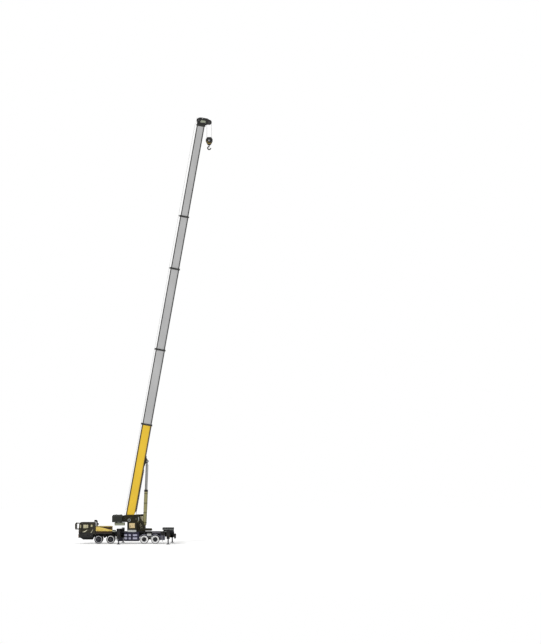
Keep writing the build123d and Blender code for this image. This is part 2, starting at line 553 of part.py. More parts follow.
def make_operator_cab():
    """The operator's cab on the turntable's right side: shell, door, glass and seat."""
    x0, x1, y0, y1, z0, z1 = OP_REAR_X, OP_FRONT_X, OP_INNER_Y, OP_OUTER_Y, OP_BOTTOM_Z, OP_TOP_Z
    profile = [(x0, z0), (x0, z1), (x1 - 150, z1), (x1 - 40, z1 - 160), (x1, z0 + 330), (x1 - 60, z0)]
    face = make_face(Polyline(*[(x, y0, z) for x, z in profile], close=True))
    shell = extrude(face, amount=y1 - y0, dir=(0, 1, 0))
    inner = Pos(0, OP_WALL, 0) * extrude(
        offset(face, -OP_WALL, kind=Kind.INTERSECTION), amount=y1 - y0 - 2 * OP_WALL, dir=(0, 1, 0)
    )
    shell = fillet(shell.edges().filter_by(Axis.Y).sort_by(Axis.Z)[-3:], 10) - inner
    door = [(x0 + 60, z0 + 50), (x0 + 60, z1 - 60), (x1 - 190, z1 - 60), (x1 - 140, z0 + 50)]
    opening = plate(door, y1 - OP_WALL - 1, y1 + 1)
    shell -= opening
    front_low, front_high = z0 + 360, z1 - 190
    shell -= block(x1 - 160, x1 + 10, y0 + 40, y1 - 40, front_low, front_high)
    side_window = [(x0 + 70, z0 + 110), (x0 + 70, z1 - 100), (x1 - 170, z1 - 100), (x1 - 90, z1 - 200),
                   (x1 - 52, z0 + 340), (x1 - 88, z0 + 110)]
    side_face = make_face(Polyline(*[(x, y0, z) for x, z in side_window], close=True))
    shell -= Pos(0, -1, 0) * extrude(side_face, amount=OP_WALL + 2, dir=(0, 1, 0))
    shell -= block(x0 - 1, x0 + OP_WALL + 1, y0 + 50, y1 - 50, z0 + 450, z1 - 90)
    shell += block(x0 + 40, x0 + 240, SIDE_PLATE_Y + SIDE_PLATE, y0 + 1, z0 + 20, z0 + 120)
    levels = [z0 + 180, z1 - 190]
    fixed, moving = hinge_halves(x0 + 60 + DOOR_GAP / 2, y1 + HINGE_STAND, 1, levels)
    keep("operator_cab_shell", shell + fixed)
    leaf = offset(make_face(Polyline(*[(x, y1 - OP_WALL, z) for x, z in door], close=True)),
                  -DOOR_GAP, kind=Kind.INTERSECTION)
    leaf = extrude(leaf, amount=OP_WALL, dir=(0, 1, 0))
    leaf -= plate([(x0 + 110, z0 + 180), (x0 + 110, z1 - 110), (x1 - 232, z1 - 110), (x1 - 195, z0 + 180)],
                  y1 - OP_WALL - 1, y1 + 1)
    keep("operator_cab_door", leaf + moving)
    fit = PANE_GAP
    glass = block(x0 + 3, x0 + 3 + PANE, y0 + 50 + fit, y1 - 50 - fit, z0 + 450 + fit, z1 - 90 - fit)
    lean = 40 / (z1 - 160 - z0 - 330)
    low_x = x1 - (front_low + fit - z0 - 330) * lean - 3
    high_x = x1 - (front_high - fit - z0 - 330) * lean - 3
    front = [(low_x, front_low + fit), (high_x, front_high - fit), (high_x - PANE, front_high - fit),
             (low_x - PANE, front_low + fit)]
    glass += plate(front, y0 + 40 + fit, y1 - 40 - fit)
    side_pane = extrude(offset(side_face, -fit, kind=Kind.INTERSECTION), amount=PANE, dir=(0, 1, 0))
    glass += Pos(0, 3, 0) * side_pane
    keep("operator_cab_glass", glass)
    seat = block(x0 + 60, x0 + 290, y0 + 80, y1 - 90, z0 + OP_WALL, z0 + 260)
    seat = fillet(seat.edges().filter_by(Axis.Z).group_by(Axis.X)[-1], 40)
    seat += block(x0 + 60, x0 + 130, y0 + 80, y1 - 90, z0 + 259, z0 + 600)
    seat += block(x0 + 60, x0 + 250, y0 + 56, y0 + 81, z0 + 330, z0 + 356)
    seat += block(x0 + 60, x0 + 250, y1 - 91, y1 - 66, z0 + 330, z0 + 356)
    keep("operator_cab_interior", seat)


# ---- Carrier ----
def make_chassis():
    """Frame rails, axle beams, knuckles and deck."""
    under_cab = CAB_FLOOR_Z - CAB_MOUNT
    side = [
        (BUMPER_REAR_X + SEAT_GAP, LOW_RAIL_Z + 122), (BUMPER_REAR_X + 200, LOW_RAIL_Z), (CAB_ARCH_X - 26, LOW_RAIL_Z), (CAB_ARCH_X + 94, RAIL_BOTTOM_Z),
        (FRAME_REAR_X, RAIL_BOTTOM_Z), (FRAME_REAR_X, RAIL_TOP_Z), (CAB_REAR_X + 15, RAIL_TOP_Z),
        (CAB_REAR_X + 15, CAB_ARCH_Z - 10), (CAB_ARCH_X + 9, CAB_ARCH_Z - 10), (CAB_ARCH_X + 9, under_cab),
        (BUMPER_REAR_X + SEAT_GAP, under_cab),
    ]
    rails = both_sides(plate(side, RAIL_INNER_Y, RAIL_OUTER_Y))
    for x in CROSS_MEMBERS_X:
        rails += block(x - 20, x + 20, -RAIL_INNER_Y - 1, RAIL_INNER_Y + 1, RAIL_BOTTOM_Z + 180, RAIL_TOP_Z)
    rails += block(BUMPER_REAR_X + SEAT_GAP, BUMPER_REAR_X + 60, -500, 500, LOW_RAIL_Z + 122, under_cab)
    for x in (CAB_FRONT_X + 240, CAB_ARCH_X - 120):
        rails += both_sides(bar((x, 190, under_cab - 1), (x, 190, CAB_FLOOR_Z - SEAT_GAP), 34))
    rails += block(FRAME_REAR_X - 1, TAIL_END_X, -560, 560, TAIL_BOTTOM_Z, TAIL_TOP_Z)
    rails -= bar((TOW_PIN_X, 0, TAIL_BOTTOM_Z - 1), (TOW_PIN_X, 0, TAIL_TOP_Z + 1), TOW_PIN_R)
    for _, x, _ in OUTRIGGERS:
        rails -= block(x - BEAM_BOX_WIDTH / 2, x + BEAM_BOX_WIDTH / 2, -700, 700, 0, BEAM_BOX_TOP_Z)
    keep("chassis_frame", rails)


def make_axles():
    """Axle beams with their springs."""
    beams = None
    for _, x, steered in AXLES:
        end = KINGPIN_Y - 60 if steered else 268
        axle = block(x - 36, x + 36, -end, end, AXLE_Z - 44, AXLE_Z + 44) + both_sides(spring_pack(x))
        if steered:
            for z0 in (AXLE_Z - 86, AXLE_Z + 62):
                arm = block(x - 34, x + 34, end - 60, KINGPIN_Y + 30, z0, z0 + 24)
                arm += block(x - 34, x + 34, end - 60, end, AXLE_Z - 86, AXLE_Z + 86)
                arm -= bar((x, KINGPIN_Y, z0 - 1), (x, KINGPIN_Y, z0 + 25), 14 + HUB_GAP)
                axle += both_sides(arm)
        else:
            axle += cross_bar(x, AXLE_Z, 100, -64, 64)
            axle += bar((x - 170, 0, AXLE_Z), (x, 0, AXLE_Z), 54)
            axle += both_sides(cross_bar(x, AXLE_Z, STUB_R, end - 1, TWIN_WHEEL_Y + 60))
        beams = axle if beams is None else beams + axle
    keep("axle_beams", beams)


def spring_pack(x):
    """A stepped leaf spring over the axle with its two hangers, on the +Y side."""
    pack = None
    for leaf in range(4):
        reach = SPRING_REACH - leaf * 55
        z0 = AXLE_Z + 44 + (3 - leaf) * SPRING_LEAF
        piece = block(x - reach, x + reach, SPRING_Y - 30, SPRING_Y + 30, z0, z0 + SPRING_LEAF)
        pack = piece if pack is None else pack + piece
    top = AXLE_Z + 44 + 4 * SPRING_LEAF
    for end in (-1, 1):
        near, far = x + end * (SPRING_REACH - 40), x + end * SPRING_REACH
        pack += block(min(near, far), max(near, far), SPRING_Y - 20, SPRING_Y + 20, top - 1, RAIL_BOTTOM_Z)
    pack += block(x - 60, x + 60, SPRING_Y - 34, SPRING_Y + 34, AXLE_Z - 50, top + 8)
    return pack


def make_wheels():
    """Knuckles, rims and tyres."""
    for axle, x, steered in AXLES:
        for name, side in SIDES:
            if steered:
                pin = bar((x, side * KINGPIN_Y, AXLE_Z - 84), (x, side * KINGPIN_Y, AXLE_Z + 84), 14)
                knuckle = pin + bar((x, side * KINGPIN_Y, AXLE_Z - 61), (x, side * KINGPIN_Y, AXLE_Z + 61), 30)
                knuckle += cross_bar(x, AXLE_Z, STUB_R, side * KINGPIN_Y, side * (FRONT_WHEEL_Y + 60))
                keep(f"knuckle_{axle}_{name}", knuckle)
                places = [FRONT_WHEEL_Y]
                hub_y = FRONT_WHEEL_Y
            else:
                half_gap = (TYRE_WIDTH + TWIN_GAP) / 2
                places = [TWIN_WHEEL_Y - half_gap, TWIN_WHEEL_Y + half_gap]
                hub_y = TWIN_WHEEL_Y
            rim, tyres = None, None
            for y in places:
                ring = rim_ring(x, side * y)
                rim = ring if rim is None else rim + ring
                tyre = tyre_ring(x, side * y)
                tyres = tyre if tyres is None else tyres + tyre
            rim += wheel_disc(x, side * hub_y, side, FRONT_DISC_EDGE if steered else TWIN_DISC_EDGE)
            rim -= cross_bar(x, AXLE_Z, STUB_R + HUB_GAP, side * hub_y - 200, side * hub_y + 200)
            keep(f"rim_{axle}_{name}", rim)
            keep(f"tyre_{axle}_{name}", tyres)


def rim_ring(x, y):
    """The barrel of a rim, drawn in towards its middle."""
    half = TYRE_WIDTH / 2 - 10
    wall = RIM_WALL
    profile = [(RIM_R, -half), (RIM_R, half), (RIM_R - wall, half), (RIM_R - 2 * wall, half - 30),
               (RIM_R - 2 * wall, 30 - half), (RIM_R - wall, -half)]
    face = make_face(Polyline(*[(r, w, 0) for r, w in profile], close=True))
    return Pos(x, y, AXLE_Z) * revolve(face, Axis.Y)


def wheel_disc(x, y, side, edge):
    """The dished disc of a wheel with its hub, as one turned piece."""
    outer = RIM_R if edge > FRONT_DISC_EDGE else RIM_R - 2 * RIM_WALL + 1
    profile = [(0, -50), (HUB_R, -50), (HUB_R, -12), (HUB_R + 30, -12), (HUB_R + 52, -edge), (outer, -edge), (outer, edge),
               (HUB_R + 52, edge), (HUB_R + 30, 12), (HUB_R, 12), (HUB_R, 50), (0, 50)]
    face = make_face(Polyline(*[(r, w * side, 0) for r, w in profile], close=True))
    return Pos(x, y, AXLE_Z) * revolve(face, Axis.Y)


def tyre_ring(x, y):
    """One tyre, a turned ring with a sloping shoulder on its outboard side."""
    half = TYRE_WIDTH / 2
    bore = RIM_R + TYRE_SEAT_GAP
    out = 1 if y > 0 else -1
    profile = [(bore, -half * out), (WHEEL_R, -half * out), (WHEEL_R, (half - 22) * out),
               (WHEEL_R - 30, half * out), (bore, half * out)]
    face = make_face(Polyline(*[(r, w, 0) for r, w in profile], close=True))
    return Pos(x, y, AXLE_Z) * revolve(face, Axis.Y)


def make_outriggers():
    """Beam boxes, beams with their legs, and jacks with their floats."""
    boxes = None
    for name, x, side in OUTRIGGERS:
        half = BEAM_BOX_WIDTH / 2
        wall = BEAM_BOX_WALL
        z0, z1 = BEAM_BOX_BOTTOM_Z, BEAM_BOX_TOP_Z
        box = block(x - half, x + half, -BEAM_BOX_HALF_Y, BEAM_BOX_HALF_Y, z0, z1)
        for end in (-1, 1):
            near, far = end * (BEAM_BOX_HALF_Y - 24), end * BEAM_BOX_HALF_Y
            box += block(x - half - BOX_FLANGE, x + half + BOX_FLANGE, near, far, z0 - BOX_FLANGE, z1 + BOX_FLANGE)
        box -= block(x - half + wall, x + half - wall, -700, 700, z0 + wall, z1 - wall)
        boxes = box if boxes is None else boxes + box
        slim = half - wall - BEAM_GAP
        out = side * (LEG_Y - LEG_HALF_Y + 10)
        back = side * (LEG_Y - LEG_HALF_Y - BEAM_LENGTH)
        beam = block(x - slim, x + slim, out, back, z0 + wall + BEAM_GAP, z1 - wall - BEAM_GAP)
        leg = block(x - LEG_HALF_X, x + LEG_HALF_X, side * LEG_Y - LEG_HALF_Y, side * LEG_Y + LEG_HALF_Y,
                    LEG_BOTTOM_Z, LEG_TOP_Z)
        leg = fillet(leg.edges().filter_by(Axis.Z), 30)
        beam += chamfer(leg.edges().group_by(Axis.Z)[-1], 14)
        beam -= bar((x, side * LEG_Y, LEG_BOTTOM_Z - 1), (x, side * LEG_Y, LEG_TOP_Z - 60), JACK_R + HUB_GAP)
        keep(f"outrigger_beam_{name}", beam)
        profile = [(0, 0), (FLOAT_R, 0), (FLOAT_R, 14), (FLOAT_R - 26, FLOAT_THICK), (JACK_R + 24, FLOAT_THICK),
                   (JACK_R + 10, FLOAT_THICK + 18), (JACK_R, FLOAT_THICK + 18), (JACK_R, LEG_BOTTOM_Z + 180),
                   (0, LEG_BOTTOM_Z + 180)]
        face = make_face(Polyline(*[(r, 0, z) for r, z in profile], close=True))
        keep(f"outrigger_jack_{name}", Pos(x, side * LEG_Y, 0) * revolve(face, Axis.Z))
    keep("outrigger_boxes", boxes)


def make_cab():
    """Carrier cab: shell, doors, glass, interior, bumper."""
    profile = [
        (CAB_FRONT_X, CAB_SILL_Z), (CAB_FRONT_X, 830), (CAB_FRONT_X + 30, 1250), (CAB_FRONT_X + 100, CAB_ROOF_Z),
        (CAB_REAR_X - 30, CAB_ROOF_Z), (CAB_REAR_X, CAB_ROOF_Z - 30), (CAB_REAR_X, CAB_ARCH_Z),
        (CAB_ARCH_X, CAB_ARCH_Z), (CAB_ARCH_X, CAB_FLOOR_Z), (BUMPER_REAR_X + 1, CAB_FLOOR_Z), (BUMPER_REAR_X + 1, CAB_SILL_Z),
    ]
    face = make_face(Polyline(*[(x, -CAB_HALF_Y, z) for x, z in profile], close=True))
    shell = extrude(face, amount=2 * CAB_HALF_Y, dir=(0, 1, 0))
    edges = shell.edges().filter_by(Axis.Z).group_by(Axis.X)[0]
    shell = fillet(edges, 14)
    shell -= Pos(0, CAB_WALL, 0) * extrude(
        offset(face, -CAB_WALL, kind=Kind.INTERSECTION), amount=2 * (CAB_HALF_Y - CAB_WALL), dir=(0, 1, 0)
    )
    skin = CAB_HALF_Y - CAB_WALL - 1
    door = [(DOOR_FRONT_X, DOOR_BOTTOM_Z), (DOOR_FRONT_X, DOOR_TOP_Z), (DOOR_REAR_X, DOOR_TOP_Z),
            (DOOR_REAR_X, DOOR_BOTTOM_Z)]
    shell -= both_sides(plate(door, skin, CAB_HALF_Y + 1))
    shell -= block(CAB_FRONT_X - 10, CAB_FRONT_X + 70, -SCREEN_Y, SCREEN_Y, SCREEN_LOW_Z, SCREEN_HIGH_Z)
    for x0, x1, z0, z1 in QUARTER_LIGHTS:
        shell -= both_sides(block(x0, x1, skin, CAB_HALF_Y + 1, z0, z1))
    for level in range(GRILLE_SLOTS):
        z = GRILLE_LOW_Z + level * GRILLE_PITCH
        shell -= block(CAB_FRONT_X - 1, CAB_FRONT_X + 8, -360, 360, z, z + GRILLE_PITCH / 2)
    shell += both_sides(mirror())
    shell += both_sides(cab_steps())
    window = [(DOOR_FRONT_X + 100, 960), (DOOR_FRONT_X + 100, 1205), (DOOR_REAR_X - 110, 1205), (DOOR_REAR_X - 110, 990)]
    hinge_x = DOOR_FRONT_X + DOOR_GAP / 2
    for name, side in SIDES:
        near, far = side * (CAB_HALF_Y - CAB_WALL), side * CAB_HALF_Y
        fixed, moving = hinge_halves(hinge_x, side * (CAB_HALF_Y + HINGE_STAND), side, HINGE_LEVELS)
        shell += fixed
        leaf = block(DOOR_FRONT_X + DOOR_GAP, DOOR_REAR_X - DOOR_GAP, near, far,
                     DOOR_BOTTOM_Z + DOOR_GAP, DOOR_TOP_Z - DOOR_GAP)
        leaf -= plate(window, min(near, far) - 1, max(near, far) + 1)
        dent = block(DOOR_REAR_X - 130, DOOR_REAR_X - 40, far - side * 5, far + side, 830, 890)
        keep(f"cab_door_{name}", leaf - dent + moving)
    keep("cab_shell", shell)
    fit = PANE_GAP
    lean = 30 / (1250 - 830)
    low_x = CAB_FRONT_X + (SCREEN_LOW_Z + fit - 830) * lean + 4
    high_x = CAB_FRONT_X + (SCREEN_HIGH_Z - fit - 830) * lean + 4
    screen = [(low_x, SCREEN_LOW_Z + fit), (high_x, SCREEN_HIGH_Z - fit), (high_x + PANE, SCREEN_HIGH_Z - fit),
              (low_x + PANE, SCREEN_LOW_Z + fit)]
    glass = plate(screen, -SCREEN_Y + fit, SCREEN_Y - fit)
    for x0, x1, z0, z1 in QUARTER_LIGHTS:
        glass += both_sides(block(x0 + fit, x1 - fit, CAB_HALF_Y - 5 - PANE, CAB_HALF_Y - 5, z0 + fit, z1 - fit))
    keep("cab_glass", glass)
    floor = CAB_FLOOR_Z + CAB_WALL
    seat = block(-3330, -3060, 180, 430, floor, 700)
    seat = fillet(seat.edges().filter_by(Axis.Z).group_by(Axis.X)[0], 40)
    keep("cab_interior", both_sides(seat + block(-3090, -3030, 180, 430, 699, 1090)))
    bumper = block(BUMPER_FRONT_X, BUMPER_REAR_X, -600, 600, 372, CAB_SILL_Z - SEAT_GAP)
    bumper = fillet(bumper.edges().filter_by(Axis.Z).group_by(Axis.X)[0], 60)
    bumper = chamfer(bumper.edges().group_by(Axis.X)[0].group_by(Axis.Z)[0], 16)
    for y, radius in LAMPS:
        recess = bar((BUMPER_FRONT_X - 1, y, LAMP_Z), (BUMPER_FRONT_X + 12, y, LAMP_Z), radius)
        bumper -= both_sides(recess)
    keep("front_bumper", bumper)


def mirror():
    """The right door mirror on its two arms."""
    y = MIRROR_Y
    arm_x = MIRROR_FRONT_X + 40
    frame = bar((CAB_FRONT_X + 40, y, 1262), (arm_x, y, 1275), MIRROR_ARM_R)
    frame += bar((CAB_FRONT_X + 5, y, 905), (arm_x, y, 905), MIRROR_ARM_R)
    frame += bar((arm_x, y, 892), (arm_x, y, 1290), MIRROR_ARM_R)
    shell = block(MIRROR_FRONT_X, MIRROR_FRONT_X + MIRROR_DEEP, y - 70, y + 70, 930, 1262)
    return frame + fillet(shell.edges().group_by(Axis.X)[0], 30)


def cab_steps():
    """Two treads under the right door on their hangers."""
    steps = None
    for x in (-3452, -3160):
        hanger = block(x, x + 12, 480, 586, 262, CAB_FLOOR_Z + 1)
        steps = hanger if steps is None else steps + hanger
    for z in (268, 336):
        steps += block(-3460, -3140, 480, 598, z, z + 12)
    return steps


def make_carrier_body():
    """Bonnet, engine, deck, boxes and the rear tray."""
    hood = block(HOOD_FRONT_X, HOOD_REAR_X, -HOOD_HALF_Y, HOOD_HALF_Y, DECK_TOP_Z + SEAT_GAP, HOOD_TOP_Z)
    hood = fillet(hood.edges().filter_by(Axis.X).group_by(Axis.Z)[-1], 60)
    hood = fillet(hood.edges().filter_by(Axis.Y).group_by(Axis.Z)[-1], 18)
    hood -= block(HOOD_FRONT_X + 14, HOOD_REAR_X - 14, -HOOD_HALF_Y + 14, HOOD_HALF_Y - 14, 0, HOOD_TOP_Z - 70)
    for group in HOOD_LOUVRES_X:
        for level in range(LOUVRES):
            z = 815 + level * 24
            hood -= both_sides(block(group, group + 180, HOOD_HALF_Y - 5, HOOD_HALF_Y + 1, z, z + 10))
    for step in range(LOUVRES):
        x = HOOD_REAR_X - 330 + step * 44
        hood -= both_sides(block(x, x + 20, 180, 430, HOOD_TOP_Z - 6, HOOD_TOP_Z + 1))
    keep("engine_hood", hood)
    engine_y = RAIL_INNER_Y - SEAT_GAP
    keep("engine_block", block(-2480, -1740, -engine_y, engine_y, 480, 930))
    keep("carrier_deck", make_deck())
    boxes = both_sides(block(BOX_FRONT_X, BOX_REAR_X, BOX_INNER_Y, BOX_OUTER_Y, BOX_BOTTOM_Z, DECK_TOP_Z - DECK_PLATE))
    for x0, x1 in BOX_DOORS:
        panel = block(x0, x1, BOX_OUTER_Y - 1, BOX_OUTER_Y + 5, BOX_BOTTOM_Z + 24, DECK_TOP_Z - DECK_PLATE - 16)
        boxes += both_sides(fillet(panel.edges().filter_by(Axis.Y), 12))
    boxes += both_sides(block(1350, 1650, 430, 600, 230, DECK_TOP_Z - DECK_PLATE))
    tank = block(TANK_FRONT_X, TANK_REAR_X, 60, 400, 150, BEAM_BOX_BOTTOM_Z - BOX_FLANGE - 6)
    tank = fillet(tank.edges().filter_by(Axis.Y), 50)
    tank += block(TANK_FRONT_X + 150, TANK_REAR_X - 150, 300, 360, BEAM_BOX_BOTTOM_Z - BOX_FLANGE - 7,
                  BEAM_BOX_BOTTOM_Z - SEAT_GAP)
    boxes += both_sides(tank)
    keep("side_boxes", boxes)
    cleaner_x = STACK_X - CLEANER_R
    stack = bar((STACK_X, STACK_Y, HOOD_TOP_Z), (STACK_X, STACK_Y, CLEANER_Z + 6), STACK_R)
    stack += bar((STACK_X, STACK_Y, CLEANER_Z), (cleaner_x, STACK_Y, CLEANER_Z), STACK_R)
    stack += bar((cleaner_x, STACK_Y, CLEANER_Z - CLEANER_HALF), (cleaner_x, STACK_Y, CLEANER_Z + CLEANER_HALF), CLEANER_R)
    stack += bar((STACK_X, STACK_Y, STUB_Z), (STACK_X + STUB_REACH, STACK_Y, STUB_Z), STACK_R)
    keep("intake_stack", stack)


def make_deck():
    """Deck plates, mudguards of the twin wheels, and the raised tray at the rear."""
    under = DECK_TOP_Z - DECK_PLATE
    deck = both_sides(block(CAB_REAR_X + 15, HOOD_REAR_X, RAIL_OUTER_Y - 1, 600, under, DECK_TOP_Z))
    deck += block(HOOD_REAR_X, TRAY_REAR_X, -600, 600, under, DECK_TOP_Z)
    for axle, x, steered in AXLES:
        if not steered:
            deck += both_sides(mudguard(x, under))
    tray = block(TRAY_FRONT_X, TRAY_REAR_X, -TRAY_HALF_Y, TRAY_HALF_Y, TRAY_BOTTOM_Z, TRAY_TOP_Z)
    tray = fillet(tray.edges().filter_by(Axis.Y), 16)
    tray -= block(TRAY_FRONT_X + 40, TRAY_REAR_X - 40, -TRAY_HALF_Y + 40, TRAY_HALF_Y - 40, TRAY_TOP_Z - 60, TRAY_TOP_Z + 1)
    tray -= block(TRAY_FRONT_X - 1, TRAY_FRONT_X + 41, -SADDLE_HALF, SADDLE_HALF, SADDLE_Z, TRAY_TOP_Z + 1)
    deck += tray
    for x in (TRAY_FRONT_X + 80, TRAY_REAR_X - 80):
        deck += both_sides(block(x - 20, x + 20, 440, TRAY_HALF_Y, DECK_TOP_Z - 1, TRAY_BOTTOM_Z + 1))
    slot_x, slot_y = LEG_HALF_X + 8, LEG_HALF_Y + 7
    for _, x, side in OUTRIGGERS:
        deck -= block(x - slot_x, x + slot_x, side * (LEG_STOWED_Y - slot_y), side * 700, 0, 2000)
    return deck


def mudguard(x, under):
    """A curved plate over one pair of twin wheels, hung from the deck on the +Y side."""
    inner_y, outer_y = TWIN_WHEEL_Y - TYRE_WIDTH - 20, TWIN_WHEEL_Y + TYRE_WIDTH + 18
    guard = cross_bar(x, AXLE_Z, GUARD_R + GUARD_PLATE, inner_y, outer_y)
    guard -= cross_bar(x, AXLE_Z, GUARD_R, inner_y - 1, outer_y + 1)
    guard &= block(x - GUARD_REACH, x + GUARD_REACH, inner_y, outer_y, AXLE_Z + 100, under)
    return guard + block(x - 14, x + 14, inner_y + 40, outer_y - 40, AXLE_Z + GUARD_R + 2, under + 1)


def main():
    """Build every piece and write one file for each."""
    make_boom()
    make_luff_cylinder()
    make_hook()
    make_turntable()
    make_operator_cab()
    make_chassis()
    make_axles()
    make_wheels()
    make_outriggers()
    make_cab()
    make_carrier_body()
    os.makedirs("parts", exist_ok=True)
    for name, shape in NODES.items():
        export_step(shape, f"parts/{name}.step")


main()
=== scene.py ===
"""Truck crane with a five-section boom: finishes, fittings, floor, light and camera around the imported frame.

All lengths are metres in the row frame: -X is the carrier's front, +Y its right, +Z up.
"""
import json
import math

import bmesh
import bpy
from mathutils import Matrix, Vector


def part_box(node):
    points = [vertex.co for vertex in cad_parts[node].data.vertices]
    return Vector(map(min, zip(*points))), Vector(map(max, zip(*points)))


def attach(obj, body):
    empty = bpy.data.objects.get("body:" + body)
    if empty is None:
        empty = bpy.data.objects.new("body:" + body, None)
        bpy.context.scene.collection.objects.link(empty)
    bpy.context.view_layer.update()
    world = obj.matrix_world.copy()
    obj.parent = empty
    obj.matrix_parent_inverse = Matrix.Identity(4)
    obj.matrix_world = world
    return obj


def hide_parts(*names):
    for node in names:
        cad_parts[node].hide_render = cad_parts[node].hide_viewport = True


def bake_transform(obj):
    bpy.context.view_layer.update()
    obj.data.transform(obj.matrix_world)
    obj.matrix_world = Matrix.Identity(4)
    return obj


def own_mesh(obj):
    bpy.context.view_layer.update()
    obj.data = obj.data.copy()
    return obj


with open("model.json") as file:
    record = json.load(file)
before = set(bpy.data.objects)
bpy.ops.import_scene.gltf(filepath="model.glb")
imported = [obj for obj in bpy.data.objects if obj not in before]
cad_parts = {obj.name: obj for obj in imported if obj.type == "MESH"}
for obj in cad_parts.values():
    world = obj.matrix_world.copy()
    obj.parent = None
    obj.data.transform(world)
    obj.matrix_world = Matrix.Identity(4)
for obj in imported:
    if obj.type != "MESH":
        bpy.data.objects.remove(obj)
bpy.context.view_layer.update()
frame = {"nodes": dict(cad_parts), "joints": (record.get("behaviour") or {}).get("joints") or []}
JOINTS = {joint["name"]: joint for joint in frame["joints"]}
NODES = frame["nodes"]


def joint_place(name):
    """A joint's point in the row frame."""
    return Vector(JOINTS[name]["pos_m"])


# ---- Places taken from the frame ----
SLEW = joint_place("slew")
FOOT = joint_place("luff")
HEAD_PIN = joint_place("hook_swing")
BOOM_ALONG = Vector(JOINTS["telescope_2"]["axis"]).normalized()
BOOM_TOP = Vector((-BOOM_ALONG.z, 0, BOOM_ALONG.x))
BOOM = Matrix((
    (BOOM_ALONG.x, 0, BOOM_TOP.x, FOOT.x),
    (0, 1, 0, 0),
    (BOOM_ALONG.z, 0, BOOM_TOP.z, FOOT.z),
    (0, 0, 0, 1),
))
SIDES = (("left", -1), ("right", 1))
AXLES = (1, 2, 3, 4)
RAD = math.radians


# ---- Colours ----
def srgb(code):
    """A colour written as six hex digits, as linear red, green, blue and 1."""
    parts = [int(code[i:i + 2], 16) / 255 for i in (0, 2, 4)]
    return tuple(c / 12.92 if c <= 0.04045 else ((c + 0.055) / 1.055) ** 2.4 for c in parts) + (1.0,)


# ---- Materials ----
def socket_values(shader, **values):
    """Set a shader's own sockets, named with underscores for spaces."""
    for key, value in values.items():
        shader.inputs[key.replace("_", " ")].default_value = value


class Finish:
    """A node material under construction, with its shader and short ways to add nodes."""

    def __init__(self, name):
        self.material = bpy.data.materials.new(name)
        self.material.use_nodes = True
        self.tree = self.material.node_tree
        self.shader = self.tree.nodes["Principled BSDF"]
        self.place = self.add("ShaderNodeTexCoord").outputs["Object"]

    def add(self, kind, **settings):
        """A new node with its settings."""
        node = self.tree.nodes.new(kind)
        for key, value in settings.items():
            setattr(node, key, value)
        return node

    def link(self, source, target):
        """Join an output to an input."""
        self.tree.links.new(source, target)

    def noise(self, scale, detail=3.0, stretch=None):
        """Noise between 0 and 1 at a scale, stretched along an axis where asked."""
        node = self.add("ShaderNodeTexNoise")
        node.inputs["Scale"].default_value = scale
        node.inputs["Detail"].default_value = detail
        source = self.place
        if stretch:
            mapping = self.add("ShaderNodeMapping")
            mapping.inputs["Scale"].default_value = stretch
            self.link(source, mapping.inputs["Vector"])
            source = mapping.outputs["Vector"]
        self.link(source, node.inputs["Vector"])
        return node.outputs["Fac"]

    def spread(self, value, low, high, to_low=0.0, to_high=1.0):
        """A value mapped from one range to another and held inside it."""
        node = self.add("ShaderNodeMapRange")
        for key, number in zip(("From Min", "From Max", "To Min", "To Max"), (low, high, to_low, to_high)):
            node.inputs[key].default_value = number
        self.link(value, node.inputs["Value"])
        return node.outputs["Result"]

    def mix(self, factor, first, second):
        """Two colours mixed by a factor; each is a colour or another node's output."""
        node = self.add("ShaderNodeMix", data_type="RGBA")
        self.link(factor, node.inputs["Factor"])
        for key, value in ((6, first), (7, second)):
            if isinstance(value, tuple):
                node.inputs[key].default_value = value
            else:
                self.link(value, node.inputs[key])
        return node.outputs[2]

    def colour(self, value):
        """Use a colour output as the shader's base colour."""
        self.link(value, self.shader.inputs["Base Color"])

    def gloss(self, noise, low, high):
        """Roughness that wanders between two values by a noise."""
        self.link(self.spread(self.noise(*noise), 0.3, 0.7, low, high), self.shader.inputs["Roughness"])

    def bump(self, height, strength, distance):
        """Raise the surface by a height output."""
        node = self.add("ShaderNodeBump")
        node.inputs["Strength"].default_value = strength
        node.inputs["Distance"].default_value = distance
        self.link(height, node.inputs["Height"])
        self.link(node.outputs["Normal"], self.shader.inputs["Normal"])

    def height(self):
        """Height above the ground."""
        node = self.add("ShaderNodeSeparateXYZ")
        self.link(self.place, node.inputs["Vector"])
        return node.outputs["Z"]


def shade(colour, factor):
    """A colour made lighter or darker."""
    return tuple(min(1.0, c * factor) for c in colour[:3]) + (1.0,)


def paint(name, code, rough, coat=0.4, dirt=0.35, shine=0.5):
    """Machine paint: a slightly uneven coat, duller patches, faint orange peel and dust low down."""
    f = Finish(name)
    base = srgb(code)
    patches = f.spread(f.noise(1.1, 5), 0.35, 0.7)
    streaks = f.spread(f.noise(6.0, 4, (1, 1, 0.12)), 0.45, 0.75, 0.0, 0.5)
    colour = f.mix(patches, shade(base, 0.93), shade(base, 1.06))
    colour = f.mix(streaks, colour, shade(base, 0.82))
    low = f.spread(f.height(), 1.1, 0.1, 0.0, dirt)
    dusty = f.add("ShaderNodeMath", operation="MULTIPLY")
    f.link(low, dusty.inputs[0])
    f.link(f.spread(f.noise(9.0, 6), 0.4, 0.65), dusty.inputs[1])
    f.colour(f.mix(dusty.outputs[0], colour, srgb("8d8676")))
    f.gloss((3.2, 4), rough * 0.8, rough * 1.35)
    f.bump(f.noise(420.0, 2), 0.12, 0.0006)
    socket_values(f.shader, Coat_Weight=coat, Coat_Roughness=0.12, Specular_IOR_Level=shine)
    return f.material


